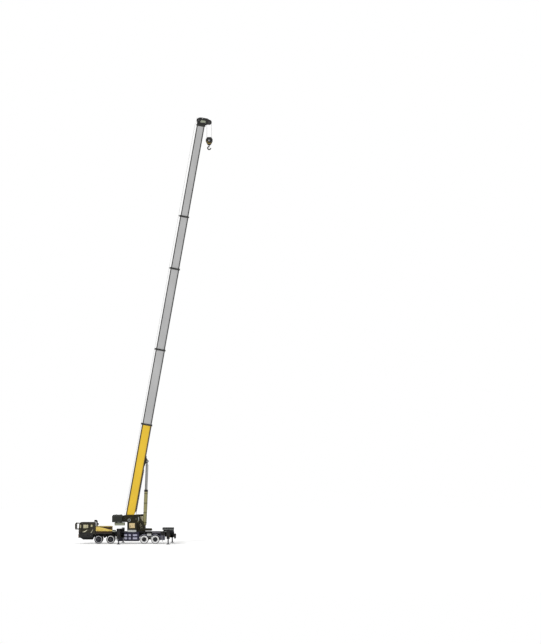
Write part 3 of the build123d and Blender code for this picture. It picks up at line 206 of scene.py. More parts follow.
def bare_steel(name, code, rough=0.28, stretch=(1, 1, 0.05)):
    """Ground or drawn steel with fine lines and a few darker marks."""
    f = Finish(name)
    base = srgb(code)
    f.colour(f.mix(f.spread(f.noise(14.0, 5, stretch), 0.35, 0.7), shade(base, 0.8), shade(base, 1.1)))
    f.gloss((30.0, 4, stretch), rough * 0.7, rough * 1.5)
    f.bump(f.noise(160.0, 3, stretch), 0.08, 0.0005)
    socket_values(f.shader, Metallic=1.0)
    return f.material


def rubber(name, code="1b1b1c"):
    """Tyre rubber, greyed with dust."""
    f = Finish(name)
    base = srgb(code)
    f.colour(f.mix(f.spread(f.noise(7.0, 6), 0.42, 0.75, 0, 0.7), base, srgb("4b4842")))
    f.gloss((12.0, 3), 0.62, 0.85)
    f.bump(f.noise(240.0, 3), 0.25, 0.0008)
    socket_values(f.shader, Specular_IOR_Level=0.3)
    return f.material


def glass(name, code="d9d2a6", rough=0.05, alpha=0.72):
    """Tinted cab glass."""
    f = Finish(name)
    f.colour(f.mix(f.spread(f.noise(1.4, 2), 0.3, 0.7), srgb(code), shade(srgb(code), 0.82)))
    f.gloss((20.0, 2), rough, rough * 1.8)
    socket_values(f.shader, Alpha=alpha, Specular_IOR_Level=0.8, Coat_Weight=0.6, Coat_Roughness=0.03)
    return f.material


def plastic(name, code, rough=0.55):
    """Moulded plastic with a fine grain."""
    f = Finish(name)
    base = srgb(code)
    f.colour(f.mix(f.spread(f.noise(4.0, 3), 0.35, 0.7), shade(base, 0.9), shade(base, 1.1)))
    f.gloss((18.0, 3), rough * 0.85, rough * 1.2)
    f.bump(f.noise(600.0, 2), 0.2, 0.0004)
    return f.material


def cloth(name, code):
    """Woven seat cloth."""
    f = Finish(name)
    base = srgb(code)
    weave = f.add("ShaderNodeTexWave", wave_type="BANDS", bands_direction="DIAGONAL")
    weave.inputs["Scale"].default_value = 90.0
    weave.inputs["Distortion"].default_value = 1.5
    f.link(f.place, weave.inputs["Vector"])
    f.colour(f.mix(weave.outputs["Fac"], shade(base, 0.75), shade(base, 1.2)))
    f.bump(weave.outputs["Fac"], 0.35, 0.001)
    socket_values(f.shader, Roughness=0.9, Sheen_Weight=0.3)
    return f.material


def tread_plate(name, code):
    """Painted deck plate with raised diamonds."""
    f = Finish(name)
    base = srgb(code)
    brick = f.add("ShaderNodeTexVoronoi", feature="DISTANCE_TO_EDGE")
    brick.inputs["Scale"].default_value = 34.0
    f.link(f.place, brick.inputs["Vector"])
    lifted = f.spread(brick.outputs["Distance"], 0.05, 0.2)
    worn = f.spread(f.noise(2.4, 5), 0.45, 0.7, 0.0, 0.6)
    colour = f.mix(lifted, shade(base, 0.85), shade(base, 1.1))
    f.colour(f.mix(worn, colour, shade(base, 1.5)))
    f.gloss((8.0, 4), 0.4, 0.7)
    f.bump(lifted, 0.5, 0.002)
    socket_values(f.shader, Metallic=0.2)
    return f.material


def boom_paint(number, code, painted_shade_band):
    """Paint of one boom section: painted shade along the top and bottom edges, by distance from the middle
    line, and a dark front end.
    """
    f = Finish(f"boom_paint_{number}")
    base = srgb(code)
    half_depth = BASE_HALF_DEPTH - SECTION_STEP * (number - 1)

    def measure(direction, origin):
        shifted = f.add("ShaderNodeVectorMath", operation="SUBTRACT")
        shifted.inputs[1].default_value = origin
        f.link(f.place, shifted.inputs[0])
        product = f.add("ShaderNodeVectorMath", operation="DOT_PRODUCT")
        product.inputs[1].default_value = direction
        f.link(shifted.outputs[0], product.inputs[0])
        return product.outputs["Value"]

    size = f.add("ShaderNodeMath", operation="ABSOLUTE")
    f.link(measure(BOOM_TOP, FOOT + BOOM_TOP * BOOM_RISE), size.inputs[0])
    # painted shade: each section's top and bottom edges are darkened to stand in for the shade at its
    # silhouettes
    edge = f.spread(size.outputs[0], half_depth - painted_shade_band, half_depth - painted_shade_band * 0.85)
    streaks = f.spread(f.noise(3.0, 5, (1, 1, 0.08)), 0.4, 0.75, 0.0, 0.5)
    colour = f.mix(f.spread(f.noise(0.8, 4), 0.35, 0.7), shade(base, 0.95), shade(base, 1.05))
    colour = f.mix(streaks, colour, shade(base, 0.87))
    colour = f.mix(edge, colour, srgb("41330c" if number == 1 else "262623"))
    start = FRONTS[number] - COLLAR_LENGTH
    ends = (start, start + 0.01) if number == 5 else (start - 0.003, start)
    colour = f.mix(f.spread(measure(BOOM_ALONG, FOOT), *ends), colour, srgb("24241f"))
    if number == 1:
        under = BOOM_RISE - half_depth
        below = f.spread(measure(BOOM_TOP, FOOT), under - 0.012, under - 0.002)
        colour = f.mix(below, srgb("2a2612"), colour)
    f.colour(colour)
    f.gloss((2.6, 4), 0.3, 0.5)
    f.bump(f.noise(380.0, 2), 0.1, 0.0006)
    socket_values(f.shader, Coat_Weight=0.25, Coat_Roughness=0.15)
    return f.material


BOOM_RISE = 0.05
BASE_HALF_DEPTH, BASE_HALF_WIDTH = 0.305, 0.21
SECTION_STEP = 0.014
FRONTS = {1: 5.976, 2: 10.725, 3: 15.868, 4: 19.181, 5: 24.95}
COLLAR_LENGTH = 0.1

# name, colour, roughness, clear coat, dust low down, shine
YELLOW = paint("yellow_paint", "e2bb30", 0.3, 0.5, 0.15)
HOOD_YELLOW = paint("hood_yellow", "efd064", 0.4, 0.2, 0.08)
OLIVE = paint("cab_olive", "241e06", 0.4, 0.12, 0.1, 0.3)
TURN_OLIVE = paint("turntable_olive", "262208", 0.5, 0.05, 0.1, 0.28)
CREAM = paint("cream_panel", "e0c892", 0.45, 0.1, 0.05)
# painted light: a very pale cream, made extra light against the shade between the turntable arms
PAINTED_LIGHT_CREAM = paint("painted_light_cream", "fbf3cc", 0.5, 0.0, 0.0)
FRAME_BLACK = paint("frame_black", "121216", 0.55, 0.03, 0.15, 0.3)
STACK_BLACK = paint("stack_black", "0d0c0c", 0.75, 0.0, 0.0, 0.15)
BOX_DARK = paint("box_dark", "191834", 0.5, 0.05, 0.1, 0.3)
BOX_LIGHT = paint("box_light", "b3b3c8", 0.45, 0.1, 0.1)
STRIP_GREY = paint("strip_grey", "a1a6a2", 0.45)
HEAD_BLACK = paint("head_black", "161614", 0.45, 0.1, 0.0)
TUBE_OLIVE = paint("tube_olive", "96915f", 0.4, 0.2, 0.05)
WHITE_RIM = paint("white_rim", "f2f2f2", 0.3, 0.4, 0.1)
GREY_RIM = paint("grey_rim", "c3c4c8", 0.3, 0.3, 0.15)
DARK_HUB = paint("dark_hub", "20222e", 0.5, 0.1, 0.1)
MID_GREY = paint("mid_grey", "55525c", 0.5, 0.05, 0.1)
DIM_OLIVE = paint("dim_olive", "6b6a48", 0.5, 0.05, 0.0)
LINE_DARK = paint("line_dark", "1d1a12", 0.4, 0.2, 0.1)
SWOOSH = paint("light_swoosh", "e4dfc0", 0.4, 0.2, 0.05)
RED = plastic("red_lens", "a3261c", 0.2)
AMBER = plastic("amber_lens", "d78a1e", 0.2)
LAMP = plastic("clear_lens", "e6e6e2", 0.12)
BLACK_PLASTIC = plastic("black_plastic", "1c1c1e")
STEEL = bare_steel("ground_steel", "a9aaac")
ROD_STEEL = bare_steel("rod_steel", "b6b6b4", 0.15)
ROPE_STEEL = bare_steel("rope_steel", "9c9c98", 0.4, (1, 1, 1))
CAST = bare_steel("cast_iron", "4a4a4c", 0.55, (1, 1, 1))
JACK_STEEL = bare_steel("jack_steel", "46484c", 0.4)
TYRE = rubber("tyre_rubber")
HOSE = rubber("hose_rubber", "141414")
GLASS = glass("cab_glass")
CAB_GLASS = glass("operator_glass", "f0e6b8", alpha=0.86)
MIRROR = bare_steel("mirror_face", "dfe3e6", 0.04, (1, 1, 1))
BROWN = paint("skirt_brown", "33200a", 0.5, 0.05, 0.05, 0.3)
GREEN_GREY = paint("locker_grey", "9aa08c", 0.45, 0.1, 0.1)
PALE_GREY = paint("pale_grey", "c9cbc8", 0.45, 0.1, 0.1)
SEAT_CLOTH = cloth("seat_cloth", "34363b")
DECK = tread_plate("deck_plate", "3a3b42")
# the last number is how deep the painted shade reaches in from the top and bottom edges
BOOM_YELLOW = boom_paint(1, "f0c628", 0.085)
SECTION_GREY = [boom_paint(n, "bcbcbc", 0.07) for n in (2, 3, 4, 5)]


# ---- Mesh building ----
# directions of turned shapes and bolts: outwards on a side, and upwards
OUT, UP = (0, 1, 0), (0, 0, 1)


def ring_points(count, radius, start=0.0):
    """Points (across, up) spread round a circle."""
    angles = [start + 2 * math.pi * k / count for k in range(count)]
    return [(radius * math.cos(a), radius * math.sin(a)) for a in angles]


class Piece:
    """One mesh being built in the row frame. Shapes are added with a material and, if asked, a local place."""

    def __init__(self, name, body, slot, place=None, hand=1):
        self.name, self.body, self.slot, self.hand = name, body, slot, hand
        self.place = place or Matrix.Identity(4)
        self.mesh = bmesh.new()
        self.materials = []

    def sub(self, place):
        """The same mesh with another local place on top, its y not turned to a side."""
        part = Piece.__new__(Piece)
        part.place, part.mesh, part.materials, part.hand = self.place @ place, self.mesh, self.materials, 1
        return part

    def sides(self):
        """The same mesh twice, for the left and then the right side, with each y counted outwards."""
        for hand in (-1, 1):
            half = self.sub(Matrix.Identity(4))
            half.hand = hand
            yield half

    def at(self, point):
        """A point or direction with its y turned to this side."""
        x, y, z = point
        return Vector((x, y * self.hand, z))

    def _paint(self, faces, material, smooth):
        if material not in self.materials:
            self.materials.append(material)
        index = self.materials.index(material)
        for face in faces:
            face.material_index = index
            face.smooth = smooth

    def _skin(self, rings, material, closed=False):
        """Smooth faces from ring to ring, with flat ends unless the last ring meets the first."""
        faces, sides = [], len(rings[0])
        for one, two in zip(rings, rings[1:] + rings[:closed]):
            for k in range(sides):
                j = (k + 1) % sides
                faces.append(self.mesh.faces.new((one[k], one[j], two[j], two[k])))
        self._paint(faces, material, True)
        if not closed:
            self._paint([self.mesh.faces.new(rings[0][::-1]), self.mesh.faces.new(rings[-1])], material, False)

    def box(self, low, high, material):
        """A box between two corners."""
        low, high = self.at(low), self.at(high)
        middle, size = (low + high) / 2, high - low
        put = self.place @ Matrix.Translation(middle) @ Matrix.Diagonal((*size, 1))
        made = bmesh.ops.create_cube(self.mesh, size=1, matrix=put)
        self._paint({f for v in made["verts"] for f in v.link_faces}, material, False)

    def boxes(self, material, spans):
        """Boxes of one material, each from x to x, y to y and z to z."""
        for x0, x1, y0, y1, z0, z1 in spans:
            self.box((x0, y0, z0), (x1, y1, z1), material)

    def prism(self, outline, y0, y1, material):
        """An outline in x and z drawn out along y."""
        rings = [[self.mesh.verts.new(self.place @ self.at((x, y, z))) for x, z in outline] for y in (y0, y1)]
        faces = [self.mesh.faces.new(rings[0]), self.mesh.faces.new(rings[1][::-1])]
        for i in range(len(outline)):
            j = (i + 1) % len(outline)
            faces.append(self.mesh.faces.new((rings[0][j], rings[0][i], rings[1][i], rings[1][j])))
        self._paint(faces, material, False)

    def turned(self, profile, start, along, material, sides=24, closed=False):
        """A profile of (distance along, radius) turned about a line from start."""
        spin = self.at(along).normalized().to_track_quat("Z", "Y").to_matrix().to_4x4()
        put = self.place @ Matrix.Translation(self.at(start)) @ spin
        rings = [[self.mesh.verts.new(put @ Vector((a, b, distance))) for a, b in ring_points(sides, radius)]
                 for distance, radius in profile]
        self._skin(rings, material, closed)

    def rod(self, start, end, radius, material, sides=12):
        """A round rod between two points."""
        run = Vector(end) - Vector(start)
        self.turned([(0, radius), (run.length, radius)], start, run, material, sides)

    def tube(self, points, radius, material, sides=8, bend=True):
        """A round tube or hose along points, its corners rounded by subdivision."""
        path = [self.at(p) for p in points]
        for _ in range(2 if bend else 0):
            fine = [path[0]]
            for a, b in zip(path, path[1:]):
                fine += [a.lerp(b, 0.25), a.lerp(b, 0.75)]
            path = fine + [path[-1]]
        rings, side = [], None
        for i, point in enumerate(path):
            ahead = path[min(i + 1, len(path) - 1)] - path[max(i - 1, 0)]
            ahead.normalize()
            if side is None:
                side = ahead.orthogonal().normalized()
            side = (side - ahead * side.dot(ahead)).normalized()
            other = ahead.cross(side)
            rings.append([self.mesh.verts.new(self.place @ (point + (side * a + other * b) * radius))
                          for a, b in ring_points(sides, 1.0)])
        self._skin(rings, material)

    def panel(self, face, across, rise, proud, material):
        """A thin plate on a side face, from x to x and from z to z, standing proud of the face."""
        self.box((across[0], face - 0.001, rise[0]), (across[1], face + proud, rise[1]), material)

    def ring(self, along_ends, radii, start, along, material, sides):
        """A square-edged ring about a line."""
        (a, b), (inner, outer) = along_ends, radii
        self.turned([(a, inner), (a, outer), (b, outer), (b, inner)], start, along, material, sides, True)

    def cap(self, radii, heights, start, along, material, sides):
        """A round cap: its radius and height, then both at the end of its turned edge."""
        profile = [(0, radii[0]), *zip(heights, radii)]
        self.turned(profile, start, along, material, sides)

    def outline(self, points, y, radius, material):
        """Rods along a closed outline in x and z."""
        for a, b in zip(points, points[1:] + points[:1]):
            self.rod((a[0], y, a[1]), (b[0], y, b[1]), radius, material, 8)

    def handle(self, ends, reach, radius, material, sides=8):
        """A grab rod between two points in x and z, held by two stands that run from one y to the other."""
        a, b = [[(x, y, z) for y in reach] for x, z in ends]
        for rod in ((a[1], b[1]), a, b):
            self.rod(*rod, radius, material, sides)

    def bolts(self, places, along, radius, height, material):
        """Hexagon bolt heads standing at places."""
        along = Vector(along).normalized()
        for place in places:
            self.rod(place, Vector(place) + along * height, radius, material, 6)

    def bolt_ring(self, middle, count, spread, radius, height, material, start=0.0):
        """Bolt heads on a circle, standing outwards on a side face."""
        x, y, z = middle
        places = [(x + a, y, z + b) for a, b in ring_points(count, spread, start)]
        self.bolts(places, OUT, radius, height, material)

    def done(self, bevel=0.003, replaces=()):
        """Make the object: edges bevelled, riding on its body."""
        data = bpy.data.meshes.new(self.name)
        bmesh.ops.recalc_face_normals(self.mesh, faces=self.mesh.faces)
        self.mesh.to_mesh(data)
        self.mesh.free()
        for material in self.materials:
            data.materials.append(material)
        piece = bpy.data.objects.new(self.name, data)
        bpy.context.scene.collection.objects.link(piece)
        if bevel:
            cut = piece.modifiers.new("bevel", "BEVEL")
            cut.width, cut.segments, cut.limit_method, cut.angle_limit = bevel, 2, "ANGLE", RAD(40)
            cut.harden_normals = False
        if self.body:
            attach(piece, self.body)
        if replaces:
            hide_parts(*replaces)
        return piece


def dress(node, material):
    """Give a CAD node's object one material."""
    item = NODES[node]
    if not item.data.materials:
        item.data.materials.append(material)
    for i in range(len(item.data.materials)):
        item.data.materials[i] = material


# ---- Camera, floor and light ----
def make_stage():
    """A level long lens at the drawing's framing, a white floor and soft light."""
    scene = bpy.context.scene
    scene.view_settings.view_transform = "Standard"
    view_height, view_x, view_z, lens, sensor = 40.25, 8.25, 13.84, 300.0, 36.0
    camera = bpy.data.objects.new("camera", bpy.data.cameras.new("camera"))
    camera.data.lens = lens
    camera.data.sensor_width = sensor
    camera.data.clip_end = 2000
    distance = view_height * lens / sensor
    camera.location = (SLEW.x + view_x, -distance, view_z)
    camera.rotation_euler = (RAD(90), 0, 0)
    scene.collection.objects.link(camera)
    scene.camera = camera

    world = bpy.data.worlds.new("studio")
    scene.world = world
    world.use_nodes = True
    tree = world.node_tree
    back = tree.nodes["Background"]
    back.inputs["Color"].default_value = (1, 1, 1, 1)
    rays = tree.nodes.new("ShaderNodeLightPath")
    strength = tree.nodes.new("ShaderNodeMapRange")
    strength.inputs["To Min"].default_value = 0.62
    strength.inputs["To Max"].default_value = 1.0
    tree.links.new(rays.outputs["Is Camera Ray"], strength.inputs["Value"])
    tree.links.new(strength.outputs["Result"], back.inputs["Strength"])

    sun = bpy.data.objects.new("key", bpy.data.lights.new("key", "SUN"))
    sun.data.energy = 1.25
    sun.data.angle = RAD(12)
    sun.rotation_euler = (RAD(48), RAD(-18), RAD(-24))
    scene.collection.objects.link(sun)

    data = bpy.data.meshes.new("floor")
    reach = 60
    corners = [(-reach, -reach, 0), (reach, -reach, 0), (reach, reach, 0), (-reach, reach, 0)]
    data.from_pydata(corners, [], [(0, 1, 2, 3)])
    floor = bpy.data.objects.new("floor", data)
    scene.collection.objects.link(floor)
    f = Finish("floor_white")
    f.colour(f.mix(f.spread(f.noise(0.4, 2), 0.3, 0.7), (0.9, 0.9, 0.9, 1), (0.93, 0.93, 0.93, 1)))
    glow = f.add("ShaderNodeLightPath")
    f.link(f.spread(glow.outputs["Is Camera Ray"], 0, 1, 0.0, 0.3), f.shader.inputs["Emission Strength"])
    socket_values(f.shader, Roughness=0.9, Specular_IOR_Level=0.1, Emission_Color=(1, 1, 1, 1))
    data.materials.append(f.material)


make_stage()
CARRIER = Matrix.Translation((SLEW.x, 0, 0))
AXLE_Z = 0.272
FRONT_Y, TWIN_Y, TWIN_HALF = 0.522, 0.447, 0.0875
WHEEL_X = (-2.475, -1.725, 0.369, 1.062)


# ---- Wheels ----
def tyre_middles(twin):
    """How far out the tyres of one wheel stand."""
    return [TWIN_Y - TWIN_HALF, TWIN_Y + TWIN_HALF] if twin else [FRONT_Y]


def make_tyre(piece, x, y, band):
    """One tyre: bulged side walls with a light band, a grooved tread and blocks over both shoulders."""
    half, bead, crown = 0.0775, 0.1822, 0.2625
    wall = [
        (-half + 0.012, bead), (-half + 0.004, 0.189), (-half + 0.001, 0.198), (-half, 0.212),
        (-half + 0.002, 0.216), (-half + 0.001, 0.228), (-half + 0.004, 0.232), (-half + 0.004, 0.243),
        (-half + 0.013, 0.256),
    ]
    tread = []
    for groove in (-0.034, 0.0, 0.034):
        tread += [(groove - 0.006, crown), (groove - 0.004, crown - 0.007), (groove + 0.004, crown - 0.007),
                  (groove + 0.006, crown)]
    profile = wall + tread + [(-a, r) for a, r in reversed(wall)]
    middle = (x, y, AXLE_Z)
    piece.turned(profile, middle, OUT, TYRE, 64, True)
    inner, outer, material = band
    ring = [(half - 0.006, inner), (half + 0.0012, inner), (half + 0.0012, outer), (half - 0.006, outer)]
    piece.turned(ring, middle, OUT, material, 64, True)
    pitch = 44
    for k in range(pitch):
        spin = 2 * math.pi * k / pitch
        for row, (near, far) in enumerate(((-0.075, -0.041), (-0.027, -0.007), (0.007, 0.027), (0.041, 0.075))):
            turn = spin + (row % 2) * math.pi / pitch
            block = piece.sub(Matrix.Translation(piece.at(middle)) @ Matrix.Rotation(turn, 4, "Y"))
            skew = 0.004 if row in (0, 1) else -0.004
            wide = 0.0125 if row in (0, 3) else 0.0095
            low = 0.254 if row in (0, 3) else 0.259
            top = 0.2715
            block.prism([(-wide + skew, low), (wide + skew, low), (wide - skew, top), (-wide - skew, top)],
                        near, far, TYRE)


def make_rim(piece, x, twin, barrel):
    """A rim: barrel with flanges, a dished disc with hand holes, hub, nuts, cap and valve."""
    hub_y = TWIN_Y if twin else FRONT_Y
    for y in tyre_middles(twin):
        lip = [
            (-0.0675, 0.1805), (-0.0675, 0.172), (-0.05, 0.1675), (-0.045, 0.16), (0.045, 0.16), (0.05, 0.1675),
            (0.0675, 0.172), (0.0675, 0.1805), (0.061, 0.182), (0.052, 0.1775), (-0.052, 0.1775),
            (-0.061, 0.182),
        ]
        piece.turned(lip, (x, y, AXLE_Z), OUT, barrel, 64, True)
    face = hub_y + (0.02 if twin else 0.012)
    reach = 0.045 if twin else 0.058
    rim_edge = [(-0.03, 0.142), (-0.03, 0.162), (0.012, 0.162), (0.012, 0.152), (-0.004, 0.142)]
    bowl = [(-0.03, 0.0311), (-0.03, 0.112), (-0.012, 0.112), (-0.002, 0.106), (-0.006, 0.088),
            (-0.006, 0.0311)]
    hub = [(-0.09, 0.0311), (-0.09, 0.062), (0.0, 0.062), (reach - 0.01, 0.054), (reach - 0.01, 0.0311)]
    cap = [(reach - 0.012, 0.034), (reach, 0.033), (reach + 0.006, 0.028), (reach + 0.009, 0.012)]
    for profile, sides, closed in ((rim_edge, 64, True), (bowl, 64, True), (hub, 40, True), (cap, 24, False)):
        piece.turned(profile, (x, face, AXLE_Z), OUT, DARK_HUB, sides, closed)
    webs = 10
    middle = Matrix.Translation(piece.at((x, face - 0.015, AXLE_Z)))
    for k in range(webs):
        web = piece.sub(middle @ Matrix.Rotation(2 * math.pi * k / webs, 4, "Y"))
        web.prism([(-0.02, 0.104), (0.02, 0.104), (0.028, 0.146), (-0.028, 0.146)], -0.011, 0.011, DARK_HUB)
    piece.bolt_ring((x, face - 0.007, AXLE_Z), 10, 0.08, 0.0085, 0.013, STEEL)
    piece.bolt_ring((x, face + 0.005, AXLE_Z), 10, 0.08, 0.0042, 0.009, CAST)
    piece.bolt_ring((x, face + reach - 0.011, AXLE_Z), 8, 0.044, 0.003, 0.004, STEEL, 0.3)
    piece.rod((x, face + 0.004, AXLE_Z + 0.15), (x, face + 0.04, AXLE_Z + 0.145), 0.003, STEEL, 8)
    if twin:
        cover = [(0.118, 0.143), (0.118, 0.168), (0.13, 0.1695), (0.138, 0.1655), (0.138, 0.146), (0.13, 0.143)]
        piece.turned(cover, (x, hub_y, AXLE_Z), OUT, WHITE_RIM, 64, True)


def make_wheels():
    """Tyres and rims of the four axles."""
    rear_band = (0.1825, 0.238, WHITE_RIM)
    bands = {1: (0.186, 0.216, GREY_RIM), 2: (0.186, 0.22, WHITE_RIM), 3: rear_band, 4: rear_band}
    for axle in AXLES:
        twin = axle > 2
        for name, side in SIDES:
            x = joint_place(f"roll_{axle}_{name}").x
            body = f"wheel_{axle}_{name}"
            tyre = Piece(f"tyre_tread_{axle}_{name}", body, "tyre", hand=side)
            for y in tyre_middles(twin):
                make_tyre(tyre, x, y, bands[axle])
            tyre.done(0, [f"tyre_{axle}_{name}"])
            rim = Piece(f"rim_detail_{axle}_{name}", body, "rim_white", hand=side)
            make_rim(rim, x, twin, WHITE_RIM if twin else DARK_HUB)
            rim.done(0.0012, [f"rim_{axle}_{name}"])


# ---- Boom ----
HEAD_SHEAVE, GUIDE_SHEAVE = (25.206, -0.43), (25.218, 0.235)
GUIDE_GROOVE = 0.124
HEAD_GROOVE = 0.146          # middle line of the rope round the head sheave
WINCH_X, WINCH_Z, WINCH_ROPE = -0.86, 1.56, 0.128
ROPE_LINE = 0.42
ROPE_R = 0.0055


def section_half(number):
    """Half depth and half width of a boom section."""
    step = SECTION_STEP * (number - 1)
    return BASE_HALF_DEPTH - step, BASE_HALF_WIDTH - step


def boom_body(number):
    """Body of a boom section."""
    return "boom_base" if number == 1 else f"boom_section_{number}"


def make_collar_fittings(piece, front, half_y, top, under):
    """Bolts, slide pads, grease covers and the rope guide of one collar."""
    outer = half_y + 0.026
    for half in piece.sides():
        for w in (under + 0.16, BOOM_RISE, top - 0.06, top + 0.02):
            rows = [(front - 0.012, outer, w), (front - 0.088, outer, w)]
            half.bolts(rows, OUT, 0.008, 0.007, STEEL)
        for w in (BOOM_RISE - 0.12, BOOM_RISE + 0.12):
            half.box((front - 0.074, outer - 0.012, w - 0.03), (front - 0.026, outer - 0.004, w + 0.03),
                     BLACK_PLASTIC)
            half.bolts([(front - 0.05, outer - 0.004, w)], OUT, 0.007, 0.005, STEEL)
        half.box((front - 0.002, half_y - 0.062, top + 0.006), (front + 0.008, half_y - 0.02, top + 0.04), CAST)
        pad = half_y * 0.62
        half.box((front - 0.002, pad - 0.03, top - 0.004), (front + 0.01, pad + 0.03, top + 0.012),
                 BLACK_PLASTIC)
    piece.box((front - 0.084, -0.075, top + 0.05), (front - 0.016, 0.075, top + 0.066), FRAME_BLACK)
    for half in piece.sides():
        half.box((front - 0.062, 0.03, top + 0.06), (front - 0.038, 0.038, ROPE_LINE + 0.022), FRAME_BLACK)
    for w in (ROPE_LINE - 0.02, ROPE_LINE + 0.02):
        piece.rod((front - 0.05, -0.045, w), (front - 0.05, 0.045, w), 0.01, STEEL, 14)


def make_boom_fittings():
    """Collar bolts, slide pads and rope guides of four sections; the base's thin dark lines of painted shade
    along its bends, pin caps and hoses.
    """
    for number in (1, 2, 3, 4):
        front = FRONTS[number]
        half_z, half_y = section_half(number)
        piece = Piece(f"boom_fittings_{number}", boom_body(number), "head_black", BOOM)
        top, under = BOOM_RISE + half_z, BOOM_RISE - half_z
        make_collar_fittings(piece, front, half_y, top, under)
        if number == 1:
            for half in piece.sides():
                # painted shade: thin dark lines near the top and bottom stand in for the shade at the section's
                # bends
                for w in (top - 0.062, under + 0.062):
                    half.panel(half_y, (0.3, front - 0.1), (w - 0.002, w + 0.002), 0.0018, LINE_DARK)
                half.tube([(0.3, 0.1, under - 0.02), (1.2, 0.08, under - 0.014), (3.1, 0.1, under - 0.014)],
                           0.011, HOSE)
                half.cap((0.05, 0.044), (0.012, 0.016), (0, half_y + 0.005, 0), OUT, STEEL, 24)
                half.cap((0.055, 0.048), (0.012, 0.016), (3.674, 0.087, -0.372), OUT, STEEL, 24)
                top_w, low_w = under - 0.002, under - 0.03
                half.prism([(3.36, top_w), (3.38, low_w), (3.97, low_w), (3.99, top_w)],
                            0.112, 0.124, LINE_DARK)
            for u in (0.5, 1.1, 1.7, 2.3, 2.9):
                piece.box((u - 0.02, -0.13, under - 0.022), (u + 0.02, 0.13, under + 0.002), STEEL)
        piece.done(0.0012)


def make_rope():
    """Hoist rope: from the winch over the boom foot, along the boom's back and round the guide sheave."""
    drum = Vector((SLEW.x + WINCH_X, 0, WINCH_Z))
    start = BOOM @ Vector((0.35, 0, ROPE_LINE))
    lift = (start - drum).normalized()
    side = Vector((-lift.z, 0, lift.x))
    off = drum + side * WINCH_ROPE
    end = BOOM @ Vector((0.9, 0, ROPE_LINE))
    lead = Piece("rope_lead", None, "rope")
    steps = 12
    lead.tube([off.lerp(start, k / steps) for k in range(steps)] + [start, end], ROPE_R, ROPE_STEEL, 10)
    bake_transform(lead.done(0))
    previous = 0.88
    for number, front in FRONTS.items():
        run = Piece(f"rope_run_{number}", boom_body(number), "rope", BOOM)
        run.rod((previous + 0.001, 0, ROPE_LINE), (front - 0.01, 0, ROPE_LINE), ROPE_R, ROPE_STEEL, 10)
        made = run.done(0)
        if number > 1:
            stroke = max(abs(end) for end in JOINTS[f"telescope_{number}"]["range_m"])
            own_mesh(made)
        previous = front - 0.01
    x, z = GUIDE_SHEAVE
    reach = GUIDE_GROOVE + ROPE_R
    arc = [(x + reach * math.sin(a), 0, z + reach * math.cos(a)) for a in (0, 0.4, 0.8, 1.2, 1.6, 1.9)]
    low_x, low_z = HEAD_SHEAVE
    turn = [(low_x + HEAD_GROOVE * math.sin(a), 0.04, low_z + HEAD_GROOVE * math.cos(a)) for a in (1.2, 1.5)]
    over = Piece("rope_over_head", "boom_section_5", "rope", BOOM)
    over.tube([(previous, 0, ROPE_LINE), (x - 0.2, 0, z + reach + 0.008)] + arc + turn, ROPE_R, ROPE_STEEL, 10)
    over.done(0)


def make_head():
    """Fittings of the boom head: rope keepers, pin caps, stiffeners, limit switch, lamp and wind gauge."""
    piece = Piece("head_fittings", "boom_section_5", "head_black", BOOM)
    cheek, boss = 0.112, 0.126
    for x, z in (HEAD_SHEAVE, GUIDE_SHEAVE):
        for half in piece.sides():
            half.bolt_ring((x, 0.12, z), 6, 0.043, 0.006, 0.006, STEEL)
            half.cap((0.022, 0.017), (0.006, 0.009), (x, boss, z), OUT, STEEL, 20)
    for x, z in ((25.1, -0.22), (25.36, -0.3), (25.14, 0.05), (25.33, 0.06)):
        piece.rod((x, -cheek - 0.01, z), (x, cheek + 0.01, z), 0.013, STEEL, 14)
    for half in piece.sides():
        light = [(25.1, -0.21), (25.1, 0.1), (25.15, 0.125), (25.25, 0.08), (25.25, -0.18), (25.2, -0.215)]
        half.prism(light, cheek - 0.0055, cheek - 0.001, GREEN_GREY)
        spots = ((25.12, -0.19), (25.12, 0.09), (25.23, -0.16), (25.23, 0.06))
        half.bolts([(x, cheek - 0.001, z) for x, z in spots], OUT, 0.006, 0.006, STEEL)
        edge = [(25.03, -0.36), (25.02, -0.2), (24.98, -0.18), (24.96, 0.2), (25.05, 0.29), (25.06, 0.28),
                (24.975, 0.19), (24.99, -0.17), (25.035, -0.19), (25.045, -0.36)]
        half.prism(edge, cheek, cheek + 0.009, HEAD_BLACK)
        rim = [(25.397, -0.2), (25.405, -0.2), (25.412, 0.14), (25.38, 0.25), (25.372, 0.25), (25.404, 0.14)]
        half.prism(rim, cheek, cheek + 0.009, HEAD_BLACK)
    piece.box((24.88, -0.05, -0.215), (24.97, 0.05, -0.19), BOX_DARK)
    piece.rod((24.92, 0, -0.21), (24.93, 0, -0.25), 0.034, LAMP, 20)
    piece.box((24.88, -0.05, 0.297), (24.96, 0.05, 0.34), FRAME_BLACK)
    piece.rod((25.31, 0.09, 0.27), (25.31, 0.09, 0.36), 0.006, STEEL, 8)
    for a in (0, 2.094, 4.189):
        cup = (25.31 + 0.045 * math.cos(a), 0.09 + 0.045 * math.sin(a))
        piece.rod((25.31, 0.09, 0.36), (*cup, 0.36), 0.003, STEEL, 8)
        piece.turned([(0, 0.006), (0.012, 0.014), (0.02, 0.012)], (*cup, 0.352), UP, BLACK_PLASTIC, 12)
    piece.done(0.0015)


